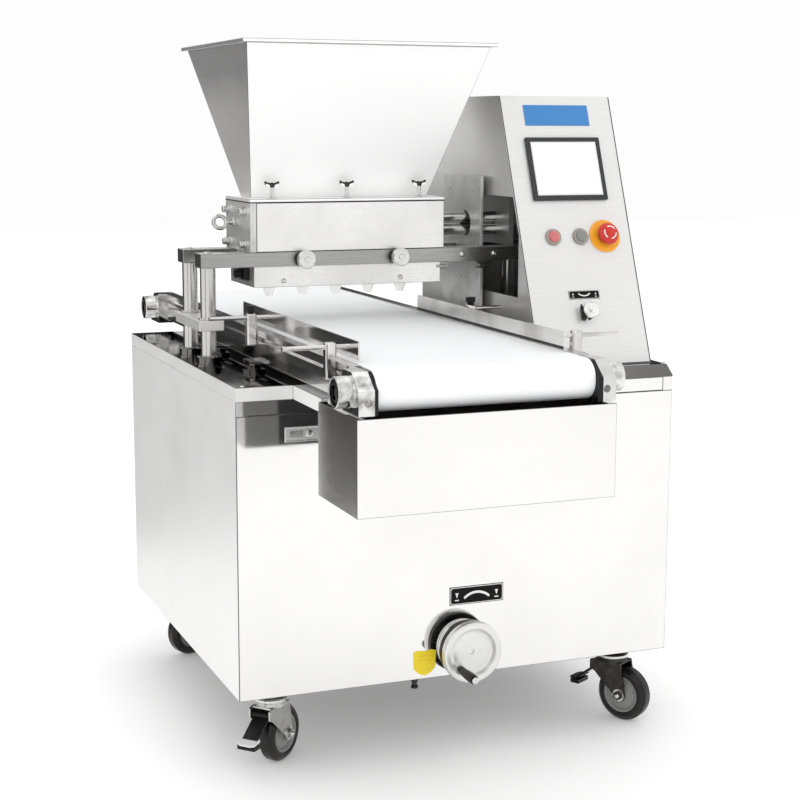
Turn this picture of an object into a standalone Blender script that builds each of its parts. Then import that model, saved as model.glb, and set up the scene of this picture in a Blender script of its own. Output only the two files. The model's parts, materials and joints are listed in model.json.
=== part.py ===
# Cake depositor on castors: a conveyor runs through the machine under a hopper, a pump
# housing with two feed rotors and a row of nozzles. The head rises on four columns.
# Frame: metres, +X to the operator's right, +Y to the back, +Z up. The origin is on the
# floor under the middle of the overall box.

import math

import bmesh
import bpy
from mathutils import Matrix, Vector

# Clearances and drawing values
seam_gap = 0.0003
overrun = 0.01
round_steps = 24
small_steps = 16
merge_distance = 0.0001

# Cabinet
column_bay = 0.105
cabinet_depth = 0.757
cabinet_height = 0.525
caster_height = 0.140
sheet = 0.002
shell_return = 0.018
deck_rim = 0.0235
rail_height = 0.0240
rail_recess = 0.003
rail_depth = 0.020
panel_lip = 0.015
deck_chamfer_width = 0.013
deck_chamfer_height = 0.020

# Base frame
frame_height = 0.040
frame_wall = 0.004
frame_ledge = 0.045
frame_floor = 0.005
caster_plate_length = 0.100
caster_plate_width = 0.085
caster_plate_thickness = 0.005
caster_inset_x = 0.072
caster_inset_front = 0.062
caster_inset_rear = 0.062
swivel_turns_share = {"front_left": 0.115, "front_right": -0.165,
                      "rear_left": 0.06, "rear_right": -0.10}

# Conveyor
conveyor_length = 1.268
front_overhang = 0.368
belt_width = 0.350
belt_thickness = 0.0025
belt_arc_steps = 12
belt_top_height = 0.071
roller_radius = 0.0282
roller_neck_radius = 0.010
roller_end_gap = 0.002
axle_setback = 0.038
axle_clearance = 0.0003
rail_width = 0.020
rail_top = 0.072
rail_bottom = 0.020
rail_to_belt = 0.0005
groove_width = 0.008
groove_depth = 0.006
groove_height = 0.058
block_width = 0.030
block_length = 0.068
block_top = 0.069
block_bottom = 0.009
block_chamfer_back = 0.030
block_chamfer_drop = 0.024
tension_hole_radius = 0.006
tension_hole_depth = 0.014
tension_hole_height = 0.028
cup_radius = 0.023
cup_length = 0.024
cup_wall = 0.004
cup_recess = 0.016
cup_head_radius = 0.007
cup_head_gap = 0.003
bed_thickness = 0.003
bed_end_gap = 0.012
cross_width = 0.030
cross_height = 0.018
cross_places_share = (0.10, 0.36, 0.64, 0.90)

# Conveyor lift
post_radius = 0.008
post_out = 0.0245
post_front_y = 0.165
post_rear_y = 0.385
post_depth = 0.075
bracket_width = 0.040
bracket_thickness = 0.005
lift_range = 0.015

# Belt guides
guide_length = 0.598
guide_front_y = 0.270
guide_height = 0.028
guide_thickness = 0.003
guide_over_belt = 0.004
guide_inset = 0.005
rod_radius = 0.0035
rod_over_belt = 0.022
rod_front_y = 0.240
rod_rear_y = 0.166
rod_length = 0.109
short_rod_length = 0.094
rod_clearance = 0.0003
clamp_width = 0.017
clamp_depth = 0.016
clamp_bottom = 0.045
clamp_top = 0.100
clamp_bevel = 0.0025
knob_radius = 0.009
knob_height = 0.013
knob_stem_radius = 0.003
knob_lobes = 5
knob_lobe_depth = 0.0016

# Crumb tray
tray_margin = 0.0025
tray_depth = 0.171
tray_top = 0.005
tray_height = 0.144
tray_wall = 0.0015
tray_lip = 0.012
tray_back_drop = 0.014
runner_web = 0.003
runner_foot = 0.012
runner_gap = 0.0025
hanger_length = 0.060
hanger_front = 0.078

# Front shelf of the deck
shelf_reach = 0.140
shelf_inset = 0.022

# Head
head_setback = 0.314
bar_depth = 0.040
bar_height = 0.0245
bar_spacing = 0.123
bar_bottom = 0.172
bar_left_inset = 0.008
column_radius = 0.0135
column_inset = 0.025
column_depth = 0.150
column_clearance = 0.0003
head_range = 0.030
tie_width = 0.044
tie_thickness = 0.018
tie_height = 0.064
tie_overhang = 0.022
collar_radius = 0.0235
collar_flange = 0.005
collar_height = 0.019
collar_neck_radius = 0.021
collar_sleeve = 0.030
collar_sleeve_radius = 0.018
collar_edge = 0.002
post_collar_radius = 0.020
post_collar_height = 0.012
post_collar_sleeve_radius = 0.012

# Pump housing, rotors and nozzles
housing_length = 0.364
housing_depth = 0.153
housing_height = 0.0855
housing_wall = 0.006
end_plate_thickness = 0.011
pump_block_depth = 0.060
chamber_width = 0.0264
chamber_bottom = 0.008
throat_width = 0.050
rotor_spacing = 0.022
rotor_upper_height = 0.0498
rotor_root_mean = 0.0108
rotor_lobe_depth = 0.0018
rotor_lobes = 8
rotor_points_per_lobe = 6
shaft_radius = 0.0102
journal_radius = 0.0085
journal_clearance = 0.0003
journal_depth = 0.007
rotor_end_gap = 0.0005
outlet_radius = 0.005
shaft_out = 0.151
manifold_inset = 0.007
manifold_depth = 0.148
manifold_height = 0.0365
spine_depth = 0.076
nozzle_count = 5
nozzle_pitch_share = 0.18
nozzle_length = 0.022
nozzle_flange_radius = 0.015
nozzle_flange = 0.003
nozzle_root_radius = 0.0125
nozzle_tip_radius = 0.0060
nozzle_wall = 0.0018
ring_radius = 0.0115
ring_wire = 0.0035
ring_stem_radius = 0.004
ring_stem_length = 0.016
ring_height = 0.048
ring_back = 0.020
ring_thread = 0.006
ring_tilt = 0.72
ring_wire_sides = 6
thumb_radius = 0.016
thumb_length = 0.014
thumb_collar_radius = 0.012
thumb_collar_length = 0.010
thumb_places_share = (-0.24, 0.245)
thumb_edge = 0.002
thumb_stem_radius = 0.004
thumb_stem_length = 0.012

# Hopper
hopper_top_width = 0.439
hopper_top_depth = 0.389
hopper_bottom_width = 0.332
hopper_bottom_depth = 0.056
hopper_height = 0.266
hopper_sheet = 0.0025
hopper_rim_width = 0.008
hopper_rim_height = 0.006
hopper_flange = 0.006
wing_pitch = 0.138
wing_count = 3
wing_stem_radius = 0.003
wing_stem_length = 0.022
wing_span = 0.022
wing_width = 0.005
wing_height = 0.009
wing_inset = 0.014

# Right-hand head parts
upright_out = 0.085
upright_thickness = 0.006
upright_front_y = 0.245
upright_rear_y = 0.416
upright_bottom = 0.030
upright_top = 0.324
upright_hole_radius = 0.024
inner_column_out = 0.200
motor_radius = 0.042
motor_length = 0.110
motor_plate = 0.010
drive_wall = 0.002
motor_plate_height = 0.150
motor_boss_radius = 0.018
motor_boss_length = 0.012
motor_fin_count = 4
motor_fin_depth = 0.003

# Lower lift drive
yoke_thickness = 0.015
yoke_depth = 0.170
screw_radius = 0.010
screw_spare = 0.050
nut_radius = 0.022
nut_height = 0.040
nut_clearance = 0.0004
bevel_gear_radius = 0.030
bevel_gear_width = 0.012
bevel_teeth = 16
bevel_tooth_depth = 0.004
bevel_backlash = 0.0012
tooth_taper_share = 0.35
foot_bearing_radius = 0.024
foot_bearing_height = 0.006
foot_bar_width = 0.050
foot_bar_height = 0.012
gear_phase_steps = -0.5
pinion_phase_steps = 1.5

# Handwheel
handwheel_x = 0.401
handwheel_height = 0.052
handwheel_radius = 0.054
handwheel_width = 0.030
handwheel_rim = 0.012
handwheel_web = 0.006
handwheel_hub_radius = 0.017
handwheel_dish = 0.008
handwheel_slope = 0.004
handwheel_standoff = 0.018
boss_radius = 0.047
boss_depth = 0.016
boss_bush_radius = 0.0115
boss_bush_length = 0.030
drive_shaft_radius = 0.008
crank_radius = 0.0085
crank_length = 0.062
crank_offset = 0.036
crank_pin_radius = 0.004
crank_pin_head = 0.006
crank_angle_turns = 0.63

# Control box
control_gap = 0.098
control_width = 0.221
control_margin = 0.030
control_front_setback = 0.025
control_rear_setback = 0.560
control_height = 0.468
control_lean = 0.3868
control_sheet = 0.002
control_panel_thickness = 0.003
window_front = 0.116
window_rear = 0.430
window_bottom = 0.115
window_top = 0.290
screen_width = 0.148
screen_height = 0.118
screen_up = 0.362
screen_frame = 0.010
screen_depth = 0.006
screen_tub = 0.020
screen_tub_inset = 0.006
glass_inset = 0.0008
button_up = 0.2355
button_places = (-0.046, 0.008, 0.057)
button_radius = 0.0105
button_stroke = 0.004
button_stand = 0.004
button_edge = 0.001
button_stem_radius = 0.006
button_stem_length = 0.016
bezel_radius = 0.015
bezel_height = 0.005
bezel_wall = 0.004
bezel_neck_radius = 0.013
bezel_neck_length = 0.014
stop_disc_radius = 0.030
stop_disc_height = 0.0025
stop_cap_radius = 0.020
stop_cap_height = 0.014
stop_cap_shoulder_share = 0.85
stop_stem_radius = 0.008
stop_neck = 0.005
stop_stem_length = 0.012
stop_stroke = 0.005
dial_up = 0.097
dial_radius = 0.015
dial_height = 0.018
dial_edge_share = 0.8
dial_stem_radius = 0.004
dial_stem_length = 0.012
dial_handle_radius = 0.003
dial_handle_length = 0.010
dial_handle_offset = 0.008

# Castors
wheel_radius = 0.050
wheel_width = 0.032
wheel_shoulder = 0.006
wheel_hub_radius = 0.034
wheel_dish = 0.006
wheel_boss_radius = 0.013
axle_radius = 0.005
bolt_head_radius = 0.009
bolt_head_height = 0.006
fork_trail = 0.026
fork_sheet = 0.003
fork_leg_gap = 0.002
fork_crown_height = 0.110
fork_crown_length = 0.056
race_radius = 0.028
race_height = 0.0247
race_waist_share = 0.85
fork_foot = 0.013
fork_toe_share = 0.6
fork_drop_share = 0.8
pedal_pivot_back = 0.026
pedal_pivot_height = 0.096
pedal_boss_radius = 0.006
pedal_reach = 0.054
pedal_width = 0.034
pedal_thickness = 0.005
pedal_drop = 0.042
fork_ear = 0.010

# Places worked out from the sizes above
cabinet_width = column_bay + belt_width + control_gap + control_width + control_margin
left_x = -cabinet_width / 2
right_x = cabinet_width / 2
front_y = -conveyor_length / 2 + front_overhang
rear_y = front_y + cabinet_depth
line_x = left_x + column_bay + belt_width / 2
belt_right_x = line_x + belt_width / 2
cabinet_z = caster_height
deck_z = cabinet_z + cabinet_height
deck_under_z = deck_z - deck_rim
panel_top_z = deck_under_z - rail_height
shell_front_y = front_y + sheet + seam_gap
head_y = front_y + head_setback
bar_front_y = head_y - bar_spacing / 2
bar_rear_y = head_y + bar_spacing / 2
bar_z = deck_z + bar_bottom
housing_z = bar_z + bar_height + seam_gap
housing_top_z = housing_z + housing_height
hopper_z = housing_top_z + seam_gap
belt_z = deck_z + belt_top_height
roller_z = belt_z - belt_thickness - roller_radius - seam_gap
front_axle_y = -conveyor_length / 2 + axle_setback
rear_axle_y = -front_axle_y
column_left_x = left_x + column_inset
column_right_x = belt_right_x + inner_column_out
yoke_z = deck_z - column_depth - yoke_thickness
manifold_length = housing_length - 2 * manifold_inset
nozzle_pitch = manifold_length * nozzle_pitch_share
screw_x = left_x + handwheel_x
handwheel_z = cabinet_z + handwheel_height
rotor_upper_z = housing_z + rotor_upper_height
rod_z = belt_z + rod_over_belt
ring_y = head_y + ring_back
ring_z = housing_z + ring_height
rotor_lower_z = rotor_upper_z - rotor_spacing
frame_half = belt_width / 2 + rail_to_belt
tray_half = frame_half + block_width + tray_margin
shaft_end_x = belt_right_x + shaft_out
bar_end_x = column_right_x + column_inset
control_x0 = belt_right_x + control_gap
control_x1 = control_x0 + control_width
control_mid_x = (control_x0 + control_x1) / 2
control_y0 = front_y + control_front_setback
control_y1 = front_y + control_rear_setback
control_z0 = deck_z + seam_gap
control_z1 = deck_z + control_height
lean = math.atan(control_lean)

parts = None
cutters = None


def start_scene():
    """Clear the scene and make the two collections."""
    global parts, cutters
    for old in list(bpy.data.objects):
        bpy.data.objects.remove(old, do_unlink=True)
    parts = bpy.data.collections.new("cake_depositor")
    cutters = bpy.data.collections.new("cutters")
    bpy.context.scene.collection.children.link(parts)
    bpy.context.scene.collection.children.link(cutters)


# Finishes: colour, roughness, metallic
finishes = {
    "polished": ((0.86, 0.86, 0.85), 0.16, 1.0),
    "brushed": ((0.78, 0.78, 0.77), 0.32, 1.0),
    "mirror": ((0.30, 0.30, 0.31), 0.06, 1.0),
    "dark_steel": ((0.20, 0.20, 0.20), 0.40, 1.0),
    "cast": ((0.62, 0.62, 0.61), 0.45, 1.0),
    "white_belt": ((0.92, 0.92, 0.91), 0.50, 0.0),
    "clear_nozzle": ((0.85, 0.86, 0.84), 0.20, 0.0),
    "black": ((0.02, 0.02, 0.02), 0.40, 0.0),
    "tyre": ((0.015, 0.013, 0.012), 0.45, 0.0),
    "panel_grey": ((0.84, 0.85, 0.86), 0.35, 0.2),
    "screen": ((0.92, 0.94, 0.95), 0.12, 0.0),
    "red": ((0.75, 0.05, 0.04), 0.30, 0.0),
    "grey": ((0.45, 0.46, 0.46), 0.30, 0.0),
    "yellow": ((0.92, 0.66, 0.05), 0.40, 0.0),
}


def finish_of(name, kind):
    """A material of its own for one part."""
    colour, roughness, metallic = finishes[kind]
    material = bpy.data.materials.new(name + "_finish")
    material.use_nodes = True
    shader = material.node_tree.nodes["Principled BSDF"]
    shader.inputs["Base Color"].default_value = (*colour, 1.0)
    shader.inputs["Roughness"].default_value = roughness
    shader.inputs["Metallic"].default_value = metallic
    material.diffuse_color = (*colour, 1.0)
    return material


def add_object(name, mesh, kind=None):
    """Link a mesh as a part, or as a cutter when it has no finish."""
    piece = bpy.data.objects.new(name, mesh)
    if kind is None:
        cutters.objects.link(piece)
        piece.hide_render = True
        piece.display_type = "WIRE"
    else:
        parts.objects.link(piece)
        mesh.materials.append(finish_of(name, kind))
    return piece


def mesh_of(name, bm):
    """Turn a bmesh into a mesh with its faces pointing out."""
    bmesh.ops.recalc_face_normals(bm, faces=bm.faces)
    mesh = bpy.data.meshes.new(name)
    bm.to_mesh(mesh)
    bm.free()
    return mesh


def smooth(piece):
    """Shade a round piece smooth and keep its corners sharp."""
    piece.data.shade_smooth()
    piece.data.set_sharp_from_angle(angle=math.radians(35))
    return piece


def box(name, low, high, kind=None, edge=0.0):
    """A box between two corners, with its edges bevelled by edge."""
    bm = bmesh.new()
    size = [b - a for a, b in zip(low, high)]
    middle = [(a + b) / 2 for a, b in zip(low, high)]
    bmesh.ops.create_cube(bm, size=1.0)
    bmesh.ops.scale(bm, vec=size, verts=bm.verts)
    bmesh.ops.translate(bm, vec=middle, verts=bm.verts)
    piece = add_object(name, mesh_of(name, bm), kind)
    if edge > 0:
        bevel = piece.modifiers.new("edges", "BEVEL")
        bevel.width = edge
        bevel.segments = 1
        bevel.limit_method = "ANGLE"
    return piece


def along(axis):
    """The rotation that carries +Z to an axis given by its name or a vector."""
    named = {"X": (1, 0, 0), "Y": (0, 1, 0), "Z": (0, 0, 1)}
    direction = Vector(named[axis]) if isinstance(axis, str) else Vector(axis)
    return direction.to_track_quat("Z", "Y").to_matrix().to_4x4()


def cylinder(name, start, axis, radius, length, kind=None, steps=round_steps, tip=None):
    """A cylinder, or a cone when tip is given, from start along an axis."""
    bm = bmesh.new()
    end_radius = radius if tip is None else tip
    bmesh.ops.create_cone(bm, cap_ends=True, segments=steps, radius1=radius,
                          radius2=end_radius, depth=length)
    bmesh.ops.translate(bm, vec=(0, 0, length / 2), verts=bm.verts)
    bmesh.ops.transform(bm, matrix=Matrix.Translation(start) @ along(axis), verts=bm.verts)
    piece = add_object(name, mesh_of(name, bm), kind)
    return smooth(piece) if kind else piece


def turned(name, profile, place, axis, kind=None, steps=round_steps, closed=False):
    """A Screw of a profile of (radius, height) points about an axis through place."""
    bm = bmesh.new()
    chain = [bm.verts.new((r, 0, z)) for r, z in profile]
    for a, b in zip(chain, chain[1:]):
        bm.edges.new((a, b))
    if closed:
        bm.edges.new((chain[-1], chain[0]))
    mesh = bpy.data.meshes.new(name)
    bm.to_mesh(mesh)
    bm.free()
    piece = add_object(name, mesh, kind)
    piece.matrix_world = Matrix.Translation(place) @ along(axis)
    screw = piece.modifiers.new("turn", "SCREW")
    screw.steps = steps
    screw.render_steps = steps
    screw.use_merge_vertices = True
    screw.merge_threshold = merge_distance
    screw.use_smooth_shade = True
    return piece


def prism(name, outline, plane, low, high, kind=None):
    """A flat outline in the XY, XZ or YZ plane, extruded from low to high."""
    bm = bmesh.new()
    spots = {"XY": lambda a, b: (a, b, low), "XZ": lambda a, b: (a, low, b),
             "YZ": lambda a, b: (low, a, b)}
    push = {"XY": (0, 0, 1), "XZ": (0, 1, 0), "YZ": (1, 0, 0)}
    face = bm.faces.new([bm.verts.new(spots[plane](a, b)) for a, b in outline])
    grown = bmesh.ops.extrude_face_region(bm, geom=[face])
    moved = [v for v in grown["geom"] if isinstance(v, bmesh.types.BMVert)]
    bmesh.ops.translate(bm, vec=Vector(push[plane]) * (high - low), verts=moved)
    return add_object(name, mesh_of(name, bm), kind)


def combine(piece, other, operation):
    """Add a Boolean to a piece; the other object becomes a hidden guide."""
    step = piece.modifiers.new(operation.lower(), "BOOLEAN")
    step.operation = operation
    step.object = other
    if other.name not in cutters.objects:
        parts.objects.unlink(other)
        cutters.objects.link(other)
    other.hide_render = True
    other.display_type = "WIRE"
    return piece


def cut(piece, *others):
    for other in others:
        combine(piece, other, "DIFFERENCE")
    return piece


def join(piece, *others):
    for other in others:
        combine(piece, other, "UNION")
    return piece


def bake(piece):
    """Apply a piece's modifiers, so that it can be moved or gathered with others."""
    graph = bpy.context.evaluated_depsgraph_get()
    mesh = bpy.data.meshes.new_from_object(piece.evaluated_get(graph))
    mesh.transform(piece.matrix_world)
    piece.modifiers.clear()
    piece.data = mesh
    piece.matrix_world = Matrix.Identity(4)
    return piece


def hang(piece, pivot):
    """Give a piece its origin on its joint's axis, with the piece left where it is."""
    bpy.context.view_layer.update()
    place = piece.matrix_world.copy()
    shift = Matrix.Translation(Vector(pivot))
    piece.data.transform(shift.inverted() @ place)
    piece.matrix_world = shift
    return piece


def on_panel(across, up, out=0.0):
    """A point on the leaning control panel, from its middle line and its lower edge."""
    x = control_mid_x + across
    y = control_y0 + up * math.sin(lean) - out * math.cos(lean)
    z = control_z0 + up * math.cos(lean) + out * math.sin(lean)
    return Vector((x, y, z))


panel_out = Vector((0, -math.cos(lean), math.sin(lean)))


def panel_box(name, across, up, width, height, out0, out1, kind=None, edge=0.0):
    """A box that lies on the leaning panel, between two distances out from it."""
    bm = bmesh.new()
    bmesh.ops.create_cube(bm, size=1.0)
    bmesh.ops.scale(bm, vec=(width, out1 - out0, height), verts=bm.verts)
    turn = Matrix.Rotation(-lean, 4, "X")
    middle = on_panel(across, up, (out0 + out1) / 2)
    bmesh.ops.transform(bm, matrix=Matrix.Translation(middle) @ turn, verts=bm.verts)
    if edge > 0:
        bmesh.ops.bevel(bm, geom=bm.edges, offset=edge, segments=1, profile=0.5,
                        affect="EDGES", material=-1)
    return add_object(name, mesh_of(name, bm), kind)


def base_frame():
    """An angle ring with a cross bar, a foot bearing and four castor plates."""
    x = right_x - sheet - seam_gap
    y0 = shell_front_y + sheet + seam_gap
    y1 = rear_y - sheet - seam_gap
    z = cabinet_z
    ring = box("base_frame", (-x, y0, z), (x, y1, z + frame_height), "dark_steel")
    pocket = box("frame_pocket", (-x + frame_wall, y0 + frame_wall, z + frame_floor),
                 (x - frame_wall, y1 - frame_wall, z + frame_height + overrun))
    hole = box("frame_hole", (-x + frame_ledge, y0 + frame_ledge, z - overrun),
               (x - frame_ledge, y1 - frame_ledge, z + frame_height))
    cut(ring, pocket, hole)
    bar = box("frame_bar", (-x + frame_wall / 2, head_y - foot_bar_width / 2, z),
              (x - frame_wall / 2, head_y + foot_bar_width / 2, z + foot_bar_height))
    boss = cylinder("frame_boss", (screw_x, head_y, z + frame_floor), "Z",
                    foot_bearing_radius, foot_bar_height - frame_floor + foot_bearing_height)
    join(ring, bar, boss)
    for spot, (cx, cy, _, _) in caster_places().items():
        plate = box("plate_" + spot,
                    (cx - caster_plate_length / 2, cy - caster_plate_width / 2,
                     z - caster_plate_thickness),
                    (cx + caster_plate_length / 2, cy + caster_plate_width / 2,
                     z + frame_floor))
        join(ring, plate)
    bore = cylinder("foot_bore", (screw_x, head_y, z + frame_floor), "Z",
                    screw_radius + nut_clearance, overrun + foot_bar_height)
    cut(ring, bore)


def caster_places():
    """Each castor's place, its swivel in turns and whether it has a brake."""
    x = right_x - caster_inset_x
    y0 = front_y + caster_inset_front
    y1 = rear_y - caster_inset_rear
    spots = {"front_left": (-x, y0), "front_right": (x, y0), "rear_left": (-x, y1),
             "rear_right": (x, y1)}
    return {word: (*spot, swivel_turns_share[word], word.startswith("front"))
            for word, spot in spots.items()}


def cabinet_shell():
    """One folded sheet round the left, the back and the right, with a front top rail."""
    top = deck_under_z - seam_gap
    shell = box("cabinet_shell", (left_x, shell_front_y, cabinet_z), (right_x, rear_y, top),
                "brushed")
    inside = box("shell_inside", (left_x + sheet, shell_front_y + sheet, cabinet_z - overrun),
                 (right_x - sheet, rear_y - sheet, top + overrun))
    front = box("shell_front", (left_x + shell_return, shell_front_y - overrun,
                                cabinet_z - overrun),
                (right_x - shell_return, shell_front_y + overrun, top + overrun))
    cut(shell, inside, front)
    rail = box("front_rail", (left_x + sheet / 2, front_y + rail_recess, panel_top_z + seam_gap),
               (right_x - sheet / 2, front_y + rail_recess + rail_depth, top))
    join(shell, rail)


def front_panel():
    """The front sheet, with a lip along its top and a hole for the handwheel's bush."""
    panel = box("front_panel", (left_x, front_y, cabinet_z),
                (right_x, front_y + sheet, panel_top_z), "polished")
    reach = right_x - shell_return - sheet
    lip = box("panel_lip", (-reach, front_y + sheet / 2, panel_top_z - sheet),
              (reach, front_y + panel_lip, panel_top_z))
    join(panel, lip)
    cut(panel, cylinder("bush_hole", (screw_x, front_y - overrun, handwheel_z), "Y",
                        boss_bush_radius + seam_gap, 2 * overrun))


def deck():
    """The top pan with a sloped right edge, a shelf in front and the holes for the posts."""
    def profile(inset, bottom):
        half = inset / 2
        return [(left_x + inset, bottom), (left_x + inset, deck_z - inset),
                (right_x - deck_chamfer_width - half, deck_z - inset),
                (right_x - inset, deck_z - deck_chamfer_height - half),
                (right_x - inset, bottom)]
    top = prism("deck", profile(0, deck_under_z), "XZ", front_y, rear_y, "mirror")
    half = frame_half + block_width - shelf_inset
    shelf = box("shelf_outer", (line_x - half, front_y - shelf_reach, deck_under_z),
                (line_x + half, front_y + overrun, deck_z))
    join(top, shelf)
    under = prism("deck_inner", profile(sheet, deck_under_z - overrun), "XZ",
                  front_y + sheet, rear_y - sheet)
    shelf_in = box("shelf_inner",
                   (line_x - half + sheet, front_y - shelf_reach + sheet,
                    deck_under_z - overrun),
                   (line_x + half - sheet, front_y + 2 * sheet, deck_z - sheet))
    cut(top, under, shelf_in)
    for n, spot in enumerate(column_places()):
        collar(top, f"collar_{n}", spot, column_radius, collar_neck_radius, collar_radius,
               collar_height, collar_sleeve_radius)
    for n, spot in enumerate(post_places()):
        collar(top, f"post_collar_{n}", spot, post_radius, post_collar_sleeve_radius,
               post_collar_radius, post_collar_height, post_collar_sleeve_radius)


def column_places():
    return [(x, y) for x in (column_left_x, column_right_x)
            for y in (bar_front_y, bar_rear_y)]


def post_places():
    reach = frame_half + post_out
    return [(line_x + side * reach, front_y + y) for side in (-1, 1)
            for y in (post_front_y, post_rear_y)]


def collar(top, name, spot, radius, neck, flange_radius, height, sleeve_radius):
    """A flanged bush in the deck; its sleeve goes down through the top sheet."""
    x, y = spot
    bore = radius + column_clearance
    cut(top, cylinder(name + "_hole", (x, y, deck_z - overrun), "Z",
                      (bore + sleeve_radius) / 2, 2 * overrun, steps=small_steps))
    profile = [(bore, height), (neck - collar_edge, height), (neck, height - collar_edge),
               (neck, collar_flange), (flange_radius, collar_flange),
               (flange_radius, -sheet / 2), (sleeve_radius, -sheet / 2),
               (sleeve_radius, -collar_sleeve), (bore, -collar_sleeve)]
    join(top, turned(name, profile, (x, y, deck_z), "Z", closed=True, steps=small_steps))


def racetrack(radius):
    """The outline of the belt round both rollers, in the YZ plane."""
    points = []
    for centre, start in ((front_axle_y, 1), (rear_axle_y, 3)):
        for n in range(belt_arc_steps + 1):
            turn = math.pi * (start / 2 + n / belt_arc_steps)
            points.append((centre + radius * math.cos(turn), roller_z + radius * math.sin(turn)))
    return points


def belt():
    inner = roller_radius + seam_gap
    x0 = line_x - belt_width / 2
    x1 = line_x + belt_width / 2
    loop = prism("conveyor_belt", racetrack(inner + belt_thickness), "YZ", x0, x1, "white_belt")
    cut(loop, prism("belt_inner", racetrack(inner), "YZ", x0 - overrun, x1 + overrun))


def roller(name, axle_y):
    """A drum with two necks; its left neck ends in a hexagon inside the bearing cup."""
    half = belt_width / 2 - roller_end_gap
    neck = frame_half + block_width + cup_length - cup_recess
    profile = [(0, neck), (roller_neck_radius, neck), (roller_neck_radius, half),
               (roller_radius, half), (roller_radius, -half), (roller_neck_radius, -half),
               (roller_neck_radius, -neck), (0, -neck)]
    drum = turned(name, profile, (line_x, axle_y, roller_z), "X", "brushed")
    head = cylinder(name + "_head", (line_x - neck + seam_gap, axle_y, roller_z), (-1, 0, 0),
                    cup_head_radius, cup_recess - cup_head_gap, steps=6)
    join(drum, head)
    hang(bake(drum), (line_x, axle_y, roller_z))


def end_block(name, side, end):
    """A chamfered bearing block with a tension hole and a round bearing cup outside."""
    y0 = end * conveyor_length / 2
    z0 = deck_z + block_bottom
    z1 = deck_z + block_top
    outline = [(y0, z0), (y0, z1 - block_chamfer_drop), (y0 - end * block_chamfer_back, z1),
               (y0 - end * block_length, z1), (y0 - end * block_length, z0)]
    inner = line_x + side * frame_half
    outer = inner + side * block_width
    block = prism(name, outline, "YZ", min(inner, outer), max(inner, outer), "polished")
    axle_y = y0 - end * axle_setback
    cup = cylinder(name + "_cup", (outer - side * seam_gap, axle_y, roller_z), (side, 0, 0),
                   cup_radius, cup_length + seam_gap)
    join(block, cup)
    recess = cylinder(name + "_recess", (outer + side * (cup_length - cup_recess), axle_y,
                                         roller_z), (side, 0, 0), cup_radius - cup_wall,
                      cup_recess + overrun)
    bore = cylinder(name + "_bore", (inner - side * overrun, axle_y, roller_z), (side, 0, 0),
                    roller_neck_radius + axle_clearance, block_width + cup_length + overrun)
    hole = cylinder(name + "_tension", (inner + side * block_width / 2, y0 + end * overrun,
                                        deck_z + tension_hole_height), (0, -end, 0),
                    tension_hole_radius, tension_hole_depth + overrun, steps=small_steps)
    return cut(block, recess, bore, hole)


def end_blocks():
    for end, word in ((-1, "front"), (1, "rear")):
        for side, hand in ((-1, "left"), (1, "right")):
            end_block(f"{word}_{hand}_block", side, end)


def conveyor_frame():
    """Two grooved side rails, cross bars inside the belt, post brackets and tray runners."""
    y1 = conveyor_length / 2 - block_length - seam_gap
    low = deck_z + rail_bottom
    high = deck_z + rail_top
    groove = deck_z + groove_height
    bed_low = roller_z + roller_radius - bed_thickness
    rails = []
    for side in (-1, 1):
        a = line_x + side * frame_half
        b = a + side * rail_width
        deep = b - side * groove_depth
        outline = [(a, low), (b, low), (b, groove - groove_width / 2),
                   (deep, groove - groove_width / 2), (deep, groove + groove_width / 2),
                   (b, groove + groove_width / 2), (b, high), (a, high)]
        rails.append(prism(f"rail_{side}", outline, "XZ", -y1, y1, "brushed"))
    frame = rails[0]
    frame.name = "conveyor_frame"
    join(frame, rails[1])
    for n, share in enumerate(cross_places_share):
        y = -y1 + share * 2 * y1
        bar = box(f"cross_{n}", (line_x - frame_half - rail_width / 2, y - cross_width / 2,
                                 bed_low - seam_gap - cross_height),
                  (line_x + frame_half + rail_width / 2, y + cross_width / 2,
                   bed_low - seam_gap))
        join(frame, bar)
    for n, (x, y) in enumerate(post_places()):
        side = -1 if x < line_x else 1
        inner = line_x + side * (frame_half + seam_gap)
        outer = x + side * (post_radius + bracket_thickness)
        plate = box(f"bracket_{n}", (min(inner, outer), y - bracket_width / 2,
                                     low - bracket_thickness),
                    (max(inner, outer), y + bracket_width / 2, low + seam_gap))
        post = cylinder(f"lift_post_{n}", (x, y, low - seam_gap), (0, 0, -1), post_radius,
                        post_depth + lift_range + rail_bottom, steps=small_steps)
        join(frame, plate, post)
    tray_z = deck_z + tray_top
    foot_z = tray_z - tray_wall - seam_gap
    front = -conveyor_length / 2 + tray_wall + overrun
    back = -conveyor_length / 2 + tray_depth - seam_gap
    for side in (-1, 1):
        web = line_x + side * runner_reach()
        web_in = web - side * runner_web
        foot = web + side * runner_foot
        upright = box(f"runner_web_{side}", (min(web, web_in), front, foot_z - runner_web),
                      (max(web, web_in), back, deck_z + block_bottom - seam_gap))
        ledge = box(f"runner_foot_{side}", (min(web_in, foot), front, foot_z - runner_web),
                    (max(web_in, foot), back, foot_z))
        start = -conveyor_length / 2 + hanger_front
        hanger = box(f"runner_hanger_{side}", (min(web, web_in), start, foot_z - seam_gap),
                     (max(web, web_in), start + hanger_length, low + sheet))
        join(frame, upright, ledge, hanger)
    guide_clamps(frame)


def runner_reach():
    """How far the tray runners' webs stand from the middle of the line."""
    return tray_half - tray_wall - tray_lip - runner_gap


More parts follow.
